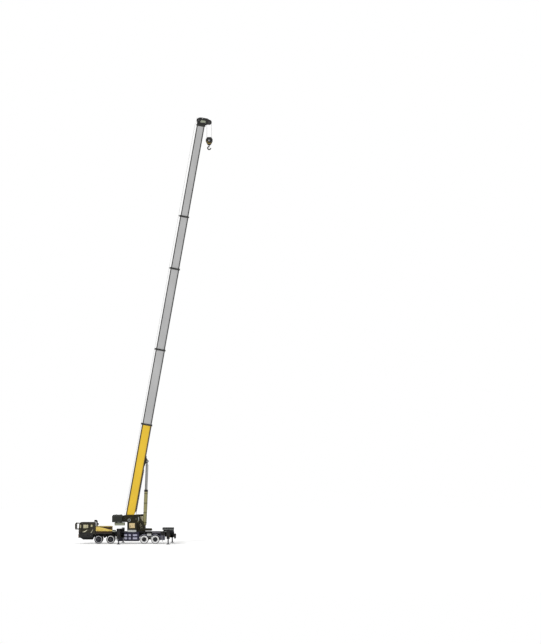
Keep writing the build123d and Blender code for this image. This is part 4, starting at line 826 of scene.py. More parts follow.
def make_falls():
    """Four twisted rope falls from the head to the block."""
    low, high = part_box("hoist_falls")
    middle = (Vector(low) + Vector(high)) / 2
    reach_x, reach_y = (high[0] - low[0]) / 2 - 0.008, 0.04
    piece = Piece("falls_rope", "hoist_falls", "rope")
    turns, strands, twist, core = 70, 3, 0.0042, 0.0052
    for sx in (-1, 1):
        for sy in (-1, 1):
            x, y = middle[0] + sx * reach_x, sy * reach_y
            piece.rod((x, y, low[2]), (x, y, high[2]), core, ROPE_STEEL, 8)
            for strand in range(strands):
                path = []
                for k in range(turns + 1):
                    a, z = 2 * math.pi * (k / 6 + strand / strands), low[2] + (high[2] - low[2]) * k / turns
                    path.append((x + twist * math.cos(a), y + twist * math.sin(a), z))
                piece.tube(path, 0.0035, ROPE_STEEL, 6, False)
    rope = piece.done(0, ["hoist_falls"])
    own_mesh(rope)


# ---- Luffing cylinder ----
def make_luff():
    """Gland, pipes, valve block and clamps of the luffing cylinder."""
    foot = joint_place("cylinder_tilt")
    along = Vector(JOINTS["rod_slide"]["axis"]).normalized()
    place = Matrix.Translation(foot) @ along.to_track_quat("Z", "Y").to_matrix().to_4x4()
    piece = Piece("luff_fittings", "luff_tube", "tube_olive", place)
    rod, tube, gland = 0.0845, 0.104, 0.118
    seal = [(2.348, rod), (2.348, 0.108), (2.356, 0.108), (2.366, 0.094), (2.366, rod)]
    piece.turned(seal, (0, 0, 0), UP, FRAME_BLACK, 40, True)
    piece.ring((2.235, 2.34), (gland - 0.001, gland + 0.002), (0, 0, 0), UP,
                 FRAME_BLACK, 40)
    piece.bolts([(a, b, 2.348) for a, b in ring_points(14, 0.1)], UP, 0.006, 0.006, CAST)
    for z in (0.3, 0.9, 1.5, 2.1):
        piece.ring((z, z + 0.03), (tube - 0.001, tube + 0.005), (0, 0, 0), UP,
                     FRAME_BLACK, 40)
        for half in piece.sides():
            half.box((0.056, 0.088, z), (0.086, 0.118, z + 0.03), CAST)
    for half in piece.sides():
        half.tube([(0.08, 0.1, 0.2), (0.074, 0.104, 1.0), (0.074, 0.104, 2.1), (0.06, 0.105, 2.24)], 0.01,
                   STEEL if half.hand > 0 else HOSE)
    piece.box((0.07, -0.05, 0.24), (0.128, 0.05, 0.42), CAST)
    piece.bolts([(0.128, a, b) for a in (-0.03, 0.03) for b in (0.27, 0.39)], (1, 0, 0), 0.008, 0.006, STEEL)
    piece.done(0.0015)


# ---- Carrier cab ----
CAB_FRONT, CAB_SIDE = -3.719, 0.5895


def swoosh(piece, x, z, width, height, thick, reach, material):
    """A light curved stripe, thick in the middle and pointed at both ends."""
    steps = 14
    lower, upper = [], []
    for k in range(steps + 1):
        t = k / steps
        rise = height * t * t
        half = thick / 2 * math.sin(math.pi * t) + 0.001
        lower.append((x + width * t, z + rise - half))
        upper.append((x + width * t, z + rise + half))
    piece.prism(lower + upper[::-1], *reach, material)


def make_cab():
    """Seals, wipers, grille, lamps, steps, handles, mirrors' faces, doors' glass and the inside of the cab."""
    trim = Piece("cab_trim", "carrier", "trim", CARRIER)
    for y in (-0.513, 0.513, 0.0):
        wide = 0.008 if y else 0.005
        seal = [(-3.7175, 0.868), (-3.6915, 1.232), (-3.676, 1.232), (-3.702, 0.868)]
        trim.prism(seal, y - wide, y + wide, BLACK_PLASTIC)
    trim.boxes(BLACK_PLASTIC, (
        (-3.722, -3.7, -0.52, 0.52, 0.862, 0.874), (-3.696, -3.672, -0.52, 0.52, 1.226, 1.238),
    ))
    for y in (-0.4, 0.06):
        trim.rod((-3.724, y, 0.858), (-3.715, y + 0.24, 0.985), 0.0045, BLACK_PLASTIC, 8)
        trim.rod((-3.7225, y + 0.1, 0.93), (-3.711, y + 0.36, 1.05), 0.0055, BLACK_PLASTIC, 8)
        trim.turned([(0, 0.014), (0.012, 0.012)], (CAB_FRONT, y, 0.858), (-1, 0, 0), CAST, 16)
    for k in range(5):
        z = 0.65 + 0.034 * k
        trim.box((CAB_FRONT - 0.001, -0.355, z + 0.001), (CAB_FRONT + 0.0075, 0.355, z + 0.016), FRAME_BLACK)
        trim.box((CAB_FRONT - 0.006, -0.36, z + 0.018), (CAB_FRONT + 0.001, 0.36, z + 0.032), STEEL)
    for half in trim.sides():
        half.box((CAB_FRONT - 0.01, 0.362, 0.642), (CAB_FRONT + 0.001, 0.374, 0.832), STEEL)
        half.box((CAB_FRONT - 0.014, 0.455, 0.74), (CAB_FRONT + 0.002, 0.575, 0.775), AMBER)
        half.rod((CAB_FRONT + 0.01, 0.5, 0.68), (CAB_FRONT - 0.012, 0.5, 0.68), 0.028, LAMP, 20)
        skirt = [(-3.714, 0.602), (-3.714, 0.725), (-3.54, 0.72), (-3.54, 0.46), (-3.64, 0.46), (-3.64, 0.602)]
        half.prism(skirt, CAB_SIDE, CAB_SIDE + 0.003, FRAME_BLACK)
        half.box((-3.006, CAB_SIDE, 0.42), (-2.83, CAB_SIDE + 0.003, 0.7), FRAME_BLACK)
        swoosh(half, -2.975, 0.7, 0.15, 0.24, 0.05, (CAB_SIDE, CAB_SIDE + 0.004), SWOOSH)
        for z in (0.268, 0.336):
            half.box((-3.456, 0.484, z + 0.011), (-3.144, 0.594, z + 0.015), DECK)
        half.handle(((-3.552, 0.66), (-3.552, 1.05)), (0.588, 0.612), 0.008, FRAME_BLACK, 10)
        for z0, z1 in ((0.945, 1.095), (1.115, 1.24)):
            half.box((-3.8465, 0.485, z0), (-3.844, 0.605, z1), MIRROR)
        for x0, x1, z0, z1 in ((-2.965, -2.855, 1.05, 1.195), (-3.64, -3.572, 0.99, 1.19)):
            frame_line = [(x0, z0), (x0, z1), (x1, z1), (x1, z0)]
            half.outline(frame_line, CAB_SIDE, 0.0045, BLACK_PLASTIC)
        for y, x, radius, look, sides in ((0.44, -3.7395, 0.047, STEEL, 28), (0.44, -3.7415, 0.039, LAMP, 28),
                                          (0.33, -3.74, 0.033, STEEL, 24), (0.33, -3.7415, 0.027, LAMP, 24)):
            half.rod((-3.732, y, 0.49), (x, y, 0.49), radius, look, sides)
        half.box((-3.735, 0.525, 0.46), (-3.715, 0.588, 0.52), AMBER)
        half.rod((-3.752, 0.2, 0.44), (-3.73, 0.2, 0.44), 0.014, CAST, 12)
    trim.box((-3.7455, -0.17, 0.455), (-3.741, 0.17, 0.525), FRAME_BLACK)
    roof = 1.325
    for half in trim.sides():
        half.rod((-3.5, 0.5, roof + 0.004), (-2.8, 0.5, roof + 0.004), 0.005, FRAME_BLACK, 8)
    trim.box((-3.3, -0.16, roof - 0.001), (-2.98, 0.16, roof + 0.003), OLIVE)
    trim.box((-3.29, -0.15, roof + 0.002), (-2.99, 0.15, roof + 0.0045), LINE_DARK)
    trim.done(0.0015)

    for name, s in SIDES:
        door = Piece(f"door_fittings_{name}", f"cab_door_{name}", "trim", CARRIER, s)
        window = [(-3.434, 0.961), (-3.434, 1.204), (-3.121, 1.204), (-3.121, 0.9893)]
        door.prism(window, 0.58, 0.585, GLASS)
        door.outline(window, 0.589, 0.006, BLACK_PLASTIC)
        door.rod((-3.23, 0.586, 0.985), (-3.23, 0.586, 1.2), 0.004, BLACK_PLASTIC, 8)
        swoosh(door, -3.485, 0.735, 0.33, 0.165, 0.055, (CAB_SIDE, CAB_SIDE + 0.004), SWOOSH)
        door.handle(((-3.125, 0.86), (-3.055, 0.86)), (0.583, 0.6), 0.006, STEEL, 10)
        lower = [(-3.527, 0.478), (-3.527, 0.722), (-3.018, 0.705), (-3.018, 0.478)]
        door.prism(lower, CAB_SIDE, CAB_SIDE + 0.002, FRAME_BLACK)
        door.boxes(BLACK_PLASTIC, (
            (-3.46, -3.1, 0.574, 0.562, 0.62, 0.84), (-3.4, -3.16, 0.562, 0.545, 0.8, 0.825),
        ))
        door.done(0.0012)

    inside = Piece("cab_inside_detail", "carrier", "trim", CARRIER)
    dashboard = [(-3.68, 0.62), (-3.68, 0.84), (-3.56, 0.87), (-3.47, 0.8), (-3.49, 0.66)]
    inside.prism(dashboard, -0.56, 0.56, BLACK_PLASTIC)
    inside.box((-3.5, -0.42, 0.8), (-3.485, -0.2, 0.85), LINE_DARK)
    inside.rod((-3.55, -0.305, 0.72), (-3.42, -0.305, 0.9), 0.012, CAST, 12)
    hub = Vector((-3.41, -0.305, 0.905))

    def on_wheel(a):
        return hub + Vector((0.075 * math.cos(a), 0.1 * math.sin(a), 0.06 * math.cos(a)))

    inside.tube([on_wheel(2 * math.pi * k / 24) for k in range(25)], 0.008, BLACK_PLASTIC, 8, False)
    for a in (0.0, 2.1, 4.2):
        inside.rod(hub, on_wheel(a), 0.006, CAST, 8)
    inside.box((-3.24, -0.05, 0.42), (-3.1, 0.05, 0.6), BLACK_PLASTIC)
    inside.rod((-3.22, 0, 0.6), (-3.24, 0, 0.72), 0.006, CAST, 8)
    inside.turned([(0, 0.012), (0.02, 0.014), (0.03, 0.008)], (-3.24, 0, 0.715), UP, BLACK_PLASTIC, 14)
    inside.done(0.002)
    for name, low, high in (("left", -0.425, -0.185), ("right", 0.185, 0.425)):
        cushions = Piece(f"cab_cushions_{name}", "carrier", "trim", CARRIER)
        cushions.boxes(SEAT_CLOTH, (
            (-3.34, -3.085, low, high, 0.69, 0.74), (-3.13, -3.085, low, high, 0.74, 1.06),
            (-3.12, -3.08, low + 0.05, high - 0.05, 1.08, 1.17),
        ))
        cushions.done(0.018)


# ---- Bonnet and deck ----
DECK_SIDE = 0.598
STACK_X, STACK_Y, CLEANER_X = -2.6, 0.335, -2.685


def make_hood():
    """Louvre blades, handles, a dark wedge, seams, a brown skirt and the intake stack's bands."""
    piece = Piece("hood_fittings", "carrier", "yellow", CARRIER)
    skin = 0.56
    for half in piece.sides():
        wedge = [(-2.42, 1.04), (-2.4, 1.062), (-1.632, 1.062), (-1.632, 0.868), (-1.78, 0.888), (-1.95, 0.93),
                 (-2.18, 0.998)]
        half.prism(wedge, skin - 0.001, skin + 0.0022, BROWN)
        half.panel(skin, (-2.648, -1.627), (0.745, 0.79), 0.004, BROWN)
        half.box((-2.648, skin - 0.03, 1.042), (-1.627, skin + 0.002, 1.07), DIM_OLIVE)
        for group in (-2.59, -2.38):
            for k in range(6):
                z = 0.815 + 0.024 * k
                x0, x1, z0, z1 = group + 0.004, group + 0.176, z + 0.001, z + 0.006
                half.prism([(x0, z0), (x1, z0), (x1, z1), (x0, z1)], skin - 0.004, skin + 0.003, HOOD_YELLOW)
        for x in (-2.17, -1.9):
            half.panel(skin, (x, x + 0.003), (0.79, 1.03), 0.0012, LINE_DARK)
        for x in (-2.1, -1.83):
            half.handle(((x, 0.84), (x + 0.07, 0.84)), (skin, skin + 0.014), 0.005, STEEL)
        for x in (-2.62, -2.13, -1.68):
            half.panel(skin, (x, x + 0.03), (0.785, 0.808), 0.007, STEEL)
        half.boxes(BROWN, (
            (-2.64, -1.632, DECK_SIDE, 0.606, 0.664, 0.744), (-2.648, -1.627, 0.4, 0.52, 1.072, 1.0865),
        ))
        half.box((-2.64, DECK_SIDE, 0.63), (-1.632, 0.6065, 0.664), LINE_DARK)
    piece.box((-2.785, -0.48, 0.82), (-2.675, 0.2, 1.3), STACK_BLACK)
    for x in (-2.3, -1.98):
        piece.box((x, -0.5, 1.084), (x + 0.006, 0.5, 1.0868), LINE_DARK)
    for z in (1.348, 1.448):
        piece.ring((0, 0.012), (0.085, 0.0875), (CLEANER_X, STACK_Y, z), UP, STACK_BLACK, 40)
    for a, b in ring_points(18, 0.0855):
        x, y = CLEANER_X + a, STACK_Y + b
        piece.rod((x, y, 1.365), (x, y, 1.44), 0.003, BLACK_PLASTIC, 6)
    for z in (1.11, 1.16, 1.3):
        piece.ring((0, 0.014), (0.0447, 0.05), (STACK_X, STACK_Y, z), UP, STACK_BLACK, 28)
    for x in (-2.53, -2.498):
        piece.ring((0, 0.01), (0.0457, 0.05), (x, STACK_Y, 1.205), (1, 0, 0), STACK_BLACK, 28)
    piece.done(0.0012)


def arch(piece, x, radii, reach, angles, material):
    """A curved strip over a wheel, between two angles above the level."""
    steps = 18
    turns = [RAD(angles[0] + (angles[1] - angles[0]) * k / steps) for k in range(steps + 1)]
    inner, outer = [[(x + r * math.cos(a), AXLE_Z + r * math.sin(a)) for a in turns] for r in radii]
    piece.prism(outer + inner[::-1], *reach, material)


def make_side_lockers(half):
    """Light door panels, handles and hinges of the lockers on one side."""
    face = 0.617
    for x0 in (-0.862, -0.64, -0.36):
        for z in (0.225, 0.675):
            half.panel(face, (x0 + 0.02, x0 + 0.05), (z, z + 0.012), 0.004, STEEL)
    for x0, x1 in ((-0.86, -0.7), (-0.6, -0.465), (-0.335, -0.07)):
        for z0, z1 in ((0.487, 0.592), (0.288, 0.398)):
            half.panel(face, (x0, x1), (z0, z1), 0.003, BOX_LIGHT)
            middle = (z0 + z1) / 2
            half.box((x0 + 0.01, face + 0.002, middle - 0.002), (x1 - 0.01, face + 0.0036, middle), BOX_DARK)
    for x in (-0.78, -0.53, -0.2):
        half.handle(((x - 0.03, 0.44), (x + 0.03, 0.44)), (face - 0.001, face + 0.008), 0.004, STEEL)


def make_deck():
    """Wheel arches, deck rims, lockers, steps, side panels, tail lamps, flaps and rails."""
    piece = Piece("deck_fittings", "carrier", "deck_grey", CARRIER)
    for half in piece.sides():
        for x in WHEEL_X[2:]:
            arch(half, x, (0.311, 0.326), (0.614, 0.624), (33, 147), BOX_LIGHT)
        for x in WHEEL_X[:2]:
            arch(half, x, (0.345, 0.352), (0.34, 0.622), (50, 130), FRAME_BLACK)
        for x0, x1 in ((-1.62, -1.33), (-0.87, -0.66), (-0.12, 1.75)):
            half.box((x0, DECK_SIDE, 0.722), (x1, 0.61, 0.75), FRAME_BLACK)
        half.box((-0.656, 0.53, 0.744), (-0.125, 0.606, 0.792), PALE_GREY)
        half.box((-1.61, 0.46, 0.744), (-1.43, 0.596, 0.822), GREEN_GREY)
        half.box((-1.6, 0.47, 0.82), (-1.44, 0.586, 0.828), LINE_DARK)
        half.box((-2.155, 0.4, 0.37), (-2.045, 0.585, 0.63), FRAME_BLACK)
        half.box((-2.145, 0.584, 0.39), (-2.055, 0.588, 0.61), STACK_BLACK)
        make_side_lockers(half)
        for z in (0.22, 0.33, 0.44):
            half.box((-1.4, 0.5, z), (-1.345, 0.62, z + 0.012), DECK)
        for x in (-1.405, -1.352):
            half.box((x, 0.595, 0.21), (x + 0.01, 0.62, 0.73), FRAME_BLACK)
        for x in (1.43, 1.535, 1.64):
            half.box((x - 0.012, DECK_SIDE, 0.25), (x + 0.01, 0.607, 0.52), BOX_LIGHT)
            half.box((x - 0.012, DECK_SIDE, 0.52), (x + 0.01, 0.604, 0.71), FRAME_BLACK)
        half.box((0.545, DECK_SIDE, 0.5), (0.81, 0.612, 0.63), PALE_GREY)
        half.box((0.56, 0.61, 0.56), (0.795, 0.6135, 0.566), LINE_DARK)
        half.boxes(FRAME_BLACK, (
            (0.55, 0.8, 0.3, 0.6, 0.63, 0.727), (0.55, 0.8, 0.5, 0.6, 0.5, 0.63),
            (0.66, 0.772, 0.2, 0.56, 0.3, 0.5), (1.395, 1.665, 0.5985, 0.6022, 0.25, 0.715),
            (2.338, 2.346, 0.35, 0.54, 0.48, 0.55),
        ))
        half.box((0.86, DECK_SIDE, 0.655), (1.38, 0.6115, 0.752), MID_GREY)
        half.box((1.5, 0.3, 0.12), (1.508, 0.6, 0.42), HOSE)
        for k, lens in enumerate((RED, AMBER, LAMP)):
            y = 0.385 + 0.06 * k
            half.rod((2.34, y, 0.515), (2.352, y, 0.515), 0.024, lens, 20)
        half.boxes(STRIP_GREY, (
            (1.502, 2.215, 0.476, 0.4805, 0.905, 0.925), (1.63, 1.75, 0.6, 0.606, 0.748, 0.77),
        ))
        for x in (1.66, 2.17):
            half.rod((x, 0.472, 0.744), (x, 0.472, 0.86), 0.008, FRAME_BLACK, 8)
        half.rod((1.66, 0.472, 0.86), (2.17, 0.472, 0.86), 0.008, STRIP_GREY, 8)
        half.rod((1.66, 0.472, 0.8), (2.17, 0.472, 0.8), 0.006, FRAME_BLACK, 8)
        for x in (-1.29, -0.94):
            half.boxes(STEEL, (
                (x - 0.015, x + 0.015, 0.058, 0.402, 0.148, 0.155),
                (x - 0.015, x + 0.015, 0.398, 0.4025, 0.15, 0.37),
            ))
    piece.boxes(FRAME_BLACK, (
        (2.338, 2.345, -0.12, 0.12, 0.42, 0.5), (1.56, 2.2, -0.455, 0.455, 0.744, 0.846),
    ))
    piece.box((-1.36, -0.42, 0.744), (-0.93, 0.42, 0.915), STACK_BLACK)
    piece.box((-1.35, -0.41, 0.914), (-0.94, 0.41, 0.922), LINE_DARK)
    for y in (-0.2, 0.2):
        piece.box((-1.17, y - 0.03, 0.921), (-1.12, y + 0.03, 0.93), STEEL)
    for k in range(8):
        x = 1.57 + 0.075 * k
        piece.box((x, -0.43, 0.929), (x + 0.03, 0.43, 0.935), FRAME_BLACK)
    piece.rod((2.288, 0, 0.598), (2.288, 0, 0.61), 0.034, CAST, 20)
    piece.done(0.0015)
    under = Piece("underbody", "carrier", "frame_black", CARRIER)
    for x0, z0, x1, z1, radius in ((-1.74, 0.5, -1.45, 0.34, 0.03), (-1.45, 0.34, -0.2, 0.31, 0.028),
                                   (-0.2, 0.31, 0.2, AXLE_Z, 0.028), (0.43, AXLE_Z, 0.9, AXLE_Z, 0.026)):
        under.rod((x0, 0, z0), (x1, 0, z1), radius, CAST, 16)
    for x in (-0.62, -0.3):
        tank = [(0, 0.06), (0.02, 0.07), (0.44, 0.07), (0.46, 0.06)]
        under.turned(tank, (x, -0.23, 0.36), OUT, FRAME_BLACK, 24)
    for x in WHEEL_X:
        for half in under.sides():
            half.rod((x + 0.06, 0.245, 0.3), (x + 0.12, 0.245, 0.6), 0.018, CAST, 14)
            for k in (-1, 1):
                half.bolts([(x + k * 0.045, 0.19 + 0.02 * k, 0.222)], (0, 0, -1), 0.01, 0.008, STEEL)
    under.done(0.0012)


# ---- Outriggers ----
def make_outriggers():
    """Jack seals, bolts and stripes of the beams, and the ribs of the floats."""
    for name, x, s in (("front_left", -1.206, -1), ("front_right", -1.0, 1),
                       ("rear_left", 1.881, -1), ("rear_right", 2.085, 1)):
        beam = Piece(f"beam_fittings_{name}", f"outrigger_beam_{name}", "frame_black", CARRIER, s)
        y, half = 1.45, 0.0756
        beam.ring((0, 0.005), (0.0408, 0.056), (x, y, 0.332), UP, STEEL, 32)
        spots = [(x + a, y + b, 0.936) for b in (-0.035, 0.035) for a in (-0.07, 0.07)]
        beam.bolts(spots, UP, 0.008, 0.006, STEEL)
        beam.turned([(0, 0.032), (0.012, 0.03)], (x, y, 0.936), UP, CAST, 24)
        for k in (-1, 1):
            beam.box((x + k * 0.1, 1.4, 0.42), (x + k * 0.1012, 1.5, 0.54), YELLOW)
        for k in range(5):
            at = 0.62 + 0.14 * k
            for face in (-1, 1):
                beam.box((x + face * (half - 0.001), at - s * 0.05, 0.43),
                         (x + face * (half + 0.00015), at + s * 0.05, 0.575), YELLOW if k % 2 else LINE_DARK)
        beam.done(0.001)
        jack = Piece(f"jack_fittings_{name}", f"outrigger_jack_{name}", "steel", CARRIER)
        for k in range(8):
            rib = jack.sub(Matrix.Translation((x, s * y, 0)) @ Matrix.Rotation(2 * math.pi * k / 8, 4, "Z"))
            rib.prism([(0.05, 0.026), (0.092, 0.026), (0.092, 0.029), (0.05, 0.038)], -0.004, 0.004, CAST)
        jack.done(0.001)


# ---- Turntable ----
def make_turntable():
    """Panels, bolts, hoses, hatches, rope windings and the counterweight's fittings."""
    piece = Piece("turntable_fittings", "turntable", "turntable", CARRIER)
    outer = 0.26
    for half in piece.sides():
        half.panel(outer, (-0.99, -0.02), (1.7, 1.725), 0.014, TURN_OLIVE)
        half.panel(outer, (-1.0, -0.66), (1.36, 1.385), 0.012, TURN_OLIVE)
        slant = [(0.05, 1.44), (0.075, 1.45), (0.372, 1.07), (0.35, 1.055)]
        upright = [(0.02, 0.84), (0.045, 0.84), (0.045, 1.42), (0.02, 1.44)]
        half.prism(slant, outer - 0.001, outer + 0.016, TURN_OLIVE)
        half.prism(upright, outer - 0.001, outer + 0.014, TURN_OLIVE)
        for x, z, r in ((-0.469, 1.588, 0.058), (0.381, 1.006, 0.046), (WINCH_X, WINCH_Z, 0.068)):
            half.bolt_ring((x, outer + 0.014, z), 8, r, 0.006, 0.007, STEEL)
        half.cap((0.096, 0.088), (0.008, 0.014), (-0.572, outer + 0.034, 1.462), OUT, STRIP_GREY, 40)
        half.cap((0.05, 0.046), (0.004, 0.006), (-0.572, outer + 0.048, 1.462), OUT, LINE_DARK, 32)
        half.bolt_ring((-0.572, outer + 0.048, 1.462), 6, 0.07, 0.006, 0.005, STEEL)
        half.bolts([(x, 0.26, 0.86) for x in (0.4, 0.5, 0.6, 0.7)], OUT, 0.008, 0.006, STEEL)
        half.panel(outer, (-0.012, 0.036), (1.43, 1.66), 0.006, STRIP_GREY)
        for x, z in ((-0.02, 1.38), (-0.15, 1.54)):
            half.turned([(0, 0.0515), (0.004, 0.0515)], (x, outer - 0.014, z), OUT, DIM_OLIVE, 32)
        for z in (1.455, 1.57, 1.66):
            half.panel(outer, (-0.3, -0.04), (z, z + 0.05), 0.004, FRAME_BLACK)
    piece.bolts([(a, b, 0.829) for a, b in ring_points(36, 0.442)], UP, 0.007, 0.008, STEEL)
    box_y = -0.54
    piece.box((-0.562, box_y - 0.008, 0.985), (-0.219, box_y + 0.001, 1.285), CREAM)
    piece.box((-0.656, box_y - 0.006, 0.8), (-0.125, box_y + 0.001, 0.862), PALE_GREY)
    for x in (-0.45, -0.332):
        piece.box((x, box_y - 0.0095, 0.99), (x + 0.003, box_y - 0.007, 1.28), LINE_DARK)
    for k in range(6):
        z = 1.02 + 0.022 * k
        piece.box((-0.545, box_y - 0.011, z), (-0.465, box_y - 0.007, z + 0.008), LINE_DARK)
    for x in (-0.36, -0.24):
        piece.handle(((x, 1.12), (x, 1.18)), (box_y - 0.006, box_y - 0.016), 0.004, STEEL)
    for x in (-0.65, -0.12):
        piece.box((x - 0.004, box_y - 0.003, 0.86), (x + 0.004, box_y + 0.001, 1.28), LINE_DARK)
    rail_y = box_y + 0.03
    for x0, z0, x1 in ((-0.62, 1.328, -0.62), (-0.16, 1.328, -0.16), (-0.62, 1.52, -0.16)):
        piece.rod((x0, rail_y, z0), (x1, rail_y, 1.52), 0.006, TURN_OLIVE, 8)
    piece.box((-0.62, box_y + 0.05, 1.329), (-0.15, -0.28, 1.333), DECK)
    for half in piece.sides():
        half.tube([(-0.25, 0.15, 0.84), (-0.2, 0.19, 1.0), (-0.1, 0.21, 1.2), (-0.3, 0.21, 1.45)], 0.012, HOSE)
        half.tube([(0.1, 0.12, 0.84), (0.2, 0.12, 0.9), (0.3, 0.115, 0.9)], 0.011, HOSE)
    piece.cap((0.09, 0.06), (0.05, 0.07), (-0.35, 0.0, 0.83), UP, CAST, 28)
    piece.done(0.0015)

    weight = Piece("weight_fittings", "turntable", "weight", CARRIER)
    for half in weight.sides():
        for x in (-1.38, -1.1):
            half.cap((0.024, 0.018), (0.006, 0.009), (x, 0.6, 1.7), OUT, CAST, 20)
        half.box((-1.3, 0.479, 1.17), (-1.02, 0.4825, 1.27), GREEN_GREY)
        half.bolts([(x, 0.48, z) for x in (-1.42, -0.92) for z in (1.17, 1.27)], OUT, 0.01, 0.006, CAST)
        half.box((-1.6465, 0.3, 1.39), (-1.642, 0.43, 1.44), RED)
        half.box((-1.645, 0.02, 1.5), (-1.6425, 0.4, 1.51), LINE_DARK)
    weight.done(0.0015)

    rope = Piece("drum_rope", "turntable", "rope", CARRIER)
    turns = 24
    profile = [(0.0, 0.106)]
    for k in range(turns):
        at = 0.366 * k / turns
        profile += [(at + 0.002, 0.117), (at + 0.0075, 0.1235), (at + 0.013, 0.117)]
    profile += [(0.368, 0.106)]
    rope.turned(profile, (WINCH_X, -0.184, WINCH_Z), OUT, ROPE_STEEL, 40)
    rope.done(0)


def make_operator_cab():
    """Seals, wiper, handle, guard rail, console and seat of the operator's cab."""
    x0, x1, y0, y1, z0, z1 = -0.156, 0.44, 0.285, 0.64, 0.9, 1.8
    trim = Piece("operator_trim", "turntable", "trim", CARRIER)
    # painted light: a very pale sheet on the cab's inner side, seen between the turntable arms and brightened
    # against the shade there
    trim.box((0.075, y0 - 0.0035, 0.93), (0.375, y0 - 0.0005, 1.3), PAINTED_LIGHT_CREAM)
    for y in (y0 + 0.04, y1 - 0.04):
        trim.rod((x1 - 0.036, y, z1 - 0.19), (x1 - 0.003, y, z0 + 0.36), 0.006, BLACK_PLASTIC, 8)
    trim.rod((x1 - 0.002, y0 + 0.04, z0 + 0.36), (x1 - 0.002, y1 - 0.04, z0 + 0.36), 0.006, BLACK_PLASTIC, 8)
    trim.rod((x1 - 0.036, y0 + 0.04, z1 - 0.19), (x1 - 0.036, y1 - 0.04, z1 - 0.19), 0.006, BLACK_PLASTIC, 8)
    trim.rod((x1 + 0.003, 0.46, z0 + 0.37), (x1 - 0.012, 0.52, z0 + 0.56), 0.004, BLACK_PLASTIC, 8)
    side = [(x0 + 0.07, z0 + 0.11), (x0 + 0.07, z1 - 0.1), (x1 - 0.17, z1 - 0.1), (x1 - 0.09, z1 - 0.2),
            (x1 - 0.052, z0 + 0.34), (x1 - 0.088, z0 + 0.11)]
    trim.outline(side, y0 + 0.001, 0.005, BLACK_PLASTIC)
    for k in range(6):
        y = y0 + 0.05 + 0.051 * k
        trim.rod((x0 + 0.3, y, z1 + 0.008), (x1 - 0.16, y, z1 + 0.008), 0.004, FRAME_BLACK, 8)
    for x in (x0 + 0.3, x1 - 0.16):
        trim.rod((x, y0 + 0.04, z1 + 0.004), (x, y1 - 0.04, z1 + 0.004), 0.006, FRAME_BLACK, 8)
    for y in (y0 + 0.06, y1 - 0.06):
        trim.rod((x1 - 0.1, y, z1 - 0.04), (x1 - 0.06, y, z1 - 0.05), 0.026, LAMP, 18)
    trim.boxes(BLACK_PLASTIC, (
        (x0 + 0.3, x0 + 0.44, y1 - 0.09, y1 - 0.03, z0 + 0.013, z0 + 0.3),
        (x0 + 0.44, x0 + 0.5, y0 + 0.06, y1 - 0.08, z0 + 0.013, z0 + 0.34),
    ))
    for y in (y0 + 0.068, y1 - 0.078):
        trim.rod((x0 + 0.21, y, z0 + 0.35), (x0 + 0.2, y, z0 + 0.43), 0.005, CAST, 8)
        knob = [(0, 0.01), (0.02, 0.013), (0.034, 0.007)]
        trim.turned(knob, (x0 + 0.2, y, z0 + 0.425), UP, BLACK_PLASTIC, 12)
    trim.done(0.0012)
    door = Piece("operator_door_fittings", "operator_door", "trim", CARRIER)
    low, high = z0 + 0.181, z1 - 0.111
    window = [(x0 + 0.111, low), (x0 + 0.111, high), (x1 - 0.233, high), (x1 - 0.1965, low)]
    door.prism(window, y1 - 0.009, y1 - 0.004, CAB_GLASS)
    door.outline(window, y1 - 0.001, 0.005, BLACK_PLASTIC)
    grip = x1 - 0.172
    door.handle(((grip, z0 + 0.3), (grip, z0 + 0.38)), (y1 - 0.001, y1 + 0.014), 0.005, STEEL)
    door.done(0.001)
    cushions = Piece("operator_cushions", "turntable", "trim", CARRIER)
    cushions.boxes(SEAT_CLOTH, (
        (x0 + 0.13, x0 + 0.295, y0 + 0.085, y1 - 0.095, z0 + 0.255, z0 + 0.295),
        (x0 + 0.125, x0 + 0.16, y0 + 0.085, y1 - 0.095, z0 + 0.3, z0 + 0.6),
    ))
    cushions.done(0.012)


# ---- Hook ----
def make_hook():
    """Cheek bolts, rope keepers, swivel nut and safety latch of the hook block."""
    low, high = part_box("hook_block")
    x = (low[0] + high[0]) / 2
    pin_z = HEAD_PIN.z - 1.138
    place = Matrix.Translation((x, 0, pin_z))
    piece = Piece("hook_fittings", "hook", "head_black", place)
    for half in piece.sides():
        half.cap((0.055, 0.048), (0.012, 0.016), (0, 0.076, 0), OUT, STEEL, 28)
        spots = ((0.17, 0.05), (0.1, 0.17), (0.17, -0.08), (0.08, -0.24))
        half.bolts([(a * k, 0.076, b) for a, b in spots for k in (-1, 1)], OUT, 0.012, 0.011, STEEL)
        half.box((-0.18, 0.0755, -0.06), (-0.08, 0.0785, -0.045), YELLOW)
        for k in range(4):
            at = -0.15 + 0.075 * k
            stripe = [(at, -0.19), (at + 0.035, -0.19), (at + 0.06, -0.15), (at + 0.025, -0.15)]
            half.prism(stripe, 0.0755, 0.078, YELLOW)
    for a, b in ((-0.19, 0.02), (0.19, 0.02), (0.0, 0.19)):
        piece.rod((a, -0.074, b), (a, 0.074, b), 0.011, STEEL, 12)
    piece.turned([(0, 0.04), (0.03, 0.045), (0.05, 0.045), (0.06, 0.03)], (0, 0, -0.355), UP, STEEL, 6)
    piece.rod((-0.03, 0, -0.375), (0.035, 0, -0.455), 0.007, STEEL, 10)
    piece.done(0.0015)


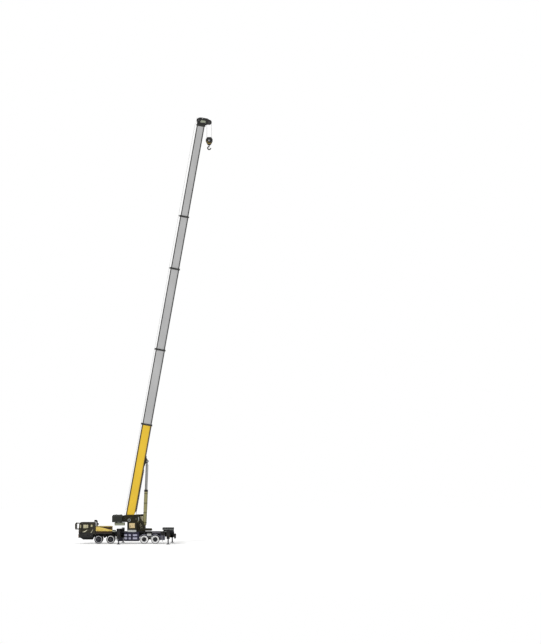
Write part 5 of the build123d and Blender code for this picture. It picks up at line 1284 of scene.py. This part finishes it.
# ---- CAD finishes ----
def split_by_height(name, low_code, high_code, level):
    """Satin paint that changes colour at one height, for a node with two painted parts."""
    f = Finish(name)
    step = f.spread(f.height(), level - 0.002, level + 0.002)
    cloudy = f.spread(f.noise(1.6, 4), 0.3, 0.7)
    low_tone = f.mix(cloudy, shade(srgb(low_code), 0.9), shade(srgb(low_code), 1.08))
    high_tone = f.mix(cloudy, shade(srgb(high_code), 0.9), shade(srgb(high_code), 1.08))
    f.colour(f.mix(step, low_tone, high_tone))
    f.gloss((2.6, 4), 0.42, 0.6)
    f.bump(f.noise(300.0, 2), 0.1, 0.0006)
    return f.material


def dress_nodes():
    """Give every CAD piece its paint. A name that ends with an underscore stands for all that start so."""
    plan = (
        (BOOM_YELLOW, "boom_base"),
        (HEAD_BLACK, "boom_head hook_block"),
        (TUBE_OLIVE, "luff_tube"),
        (ROD_STEEL, "luff_rod"),
        (ROPE_STEEL, "hoist_falls"),
        (TURN_OLIVE, "turntable_frame operator_cab_shell operator_cab_door"),
        (split_by_height("weight_two_tone", "a0a48a", "1c1f15", 1.32), "counterweight"),
        (CAST, "winch_drum slew_ring engine_block knuckle_"),
        (CAB_GLASS, "operator_cab_glass"),
        (BLACK_PLASTIC, "operator_cab_interior cab_interior"),
        (FRAME_BLACK, "chassis_frame axle_beams outrigger_boxes outrigger_beam_"),
        (split_by_height("cab_two_tone", "101012", "241e06", 0.6), "cab_shell"),
        (OLIVE, "cab_door_left cab_door_right"),
        (GLASS, "cab_glass"),
        (LINE_DARK, "front_bumper"),
        (HOOD_YELLOW, "engine_hood"),
        (split_by_height("deck_two_tone", "303137", "151619", 0.8), "carrier_deck"),
        (BOX_DARK, "side_boxes"),
        (STACK_BLACK, "intake_stack"),
        (JACK_STEEL, "outrigger_jack_"),
    )
    for material, names in plan:
        for name in names.split():
            for node in NODES:
                if node == name or (name.endswith("_") and node.startswith(name)):
                    dress(node, material)
    for number, material in zip((2, 3, 4, 5), SECTION_GREY):
        dress(f"boom_section_{number}", material)


dress_nodes()
make_wheels()
make_boom_fittings()
make_rope()
make_head()
make_falls()
make_luff()
make_cab()
make_hood()
make_deck()
make_outriggers()
make_turntable()
make_operator_cab()
make_hook()
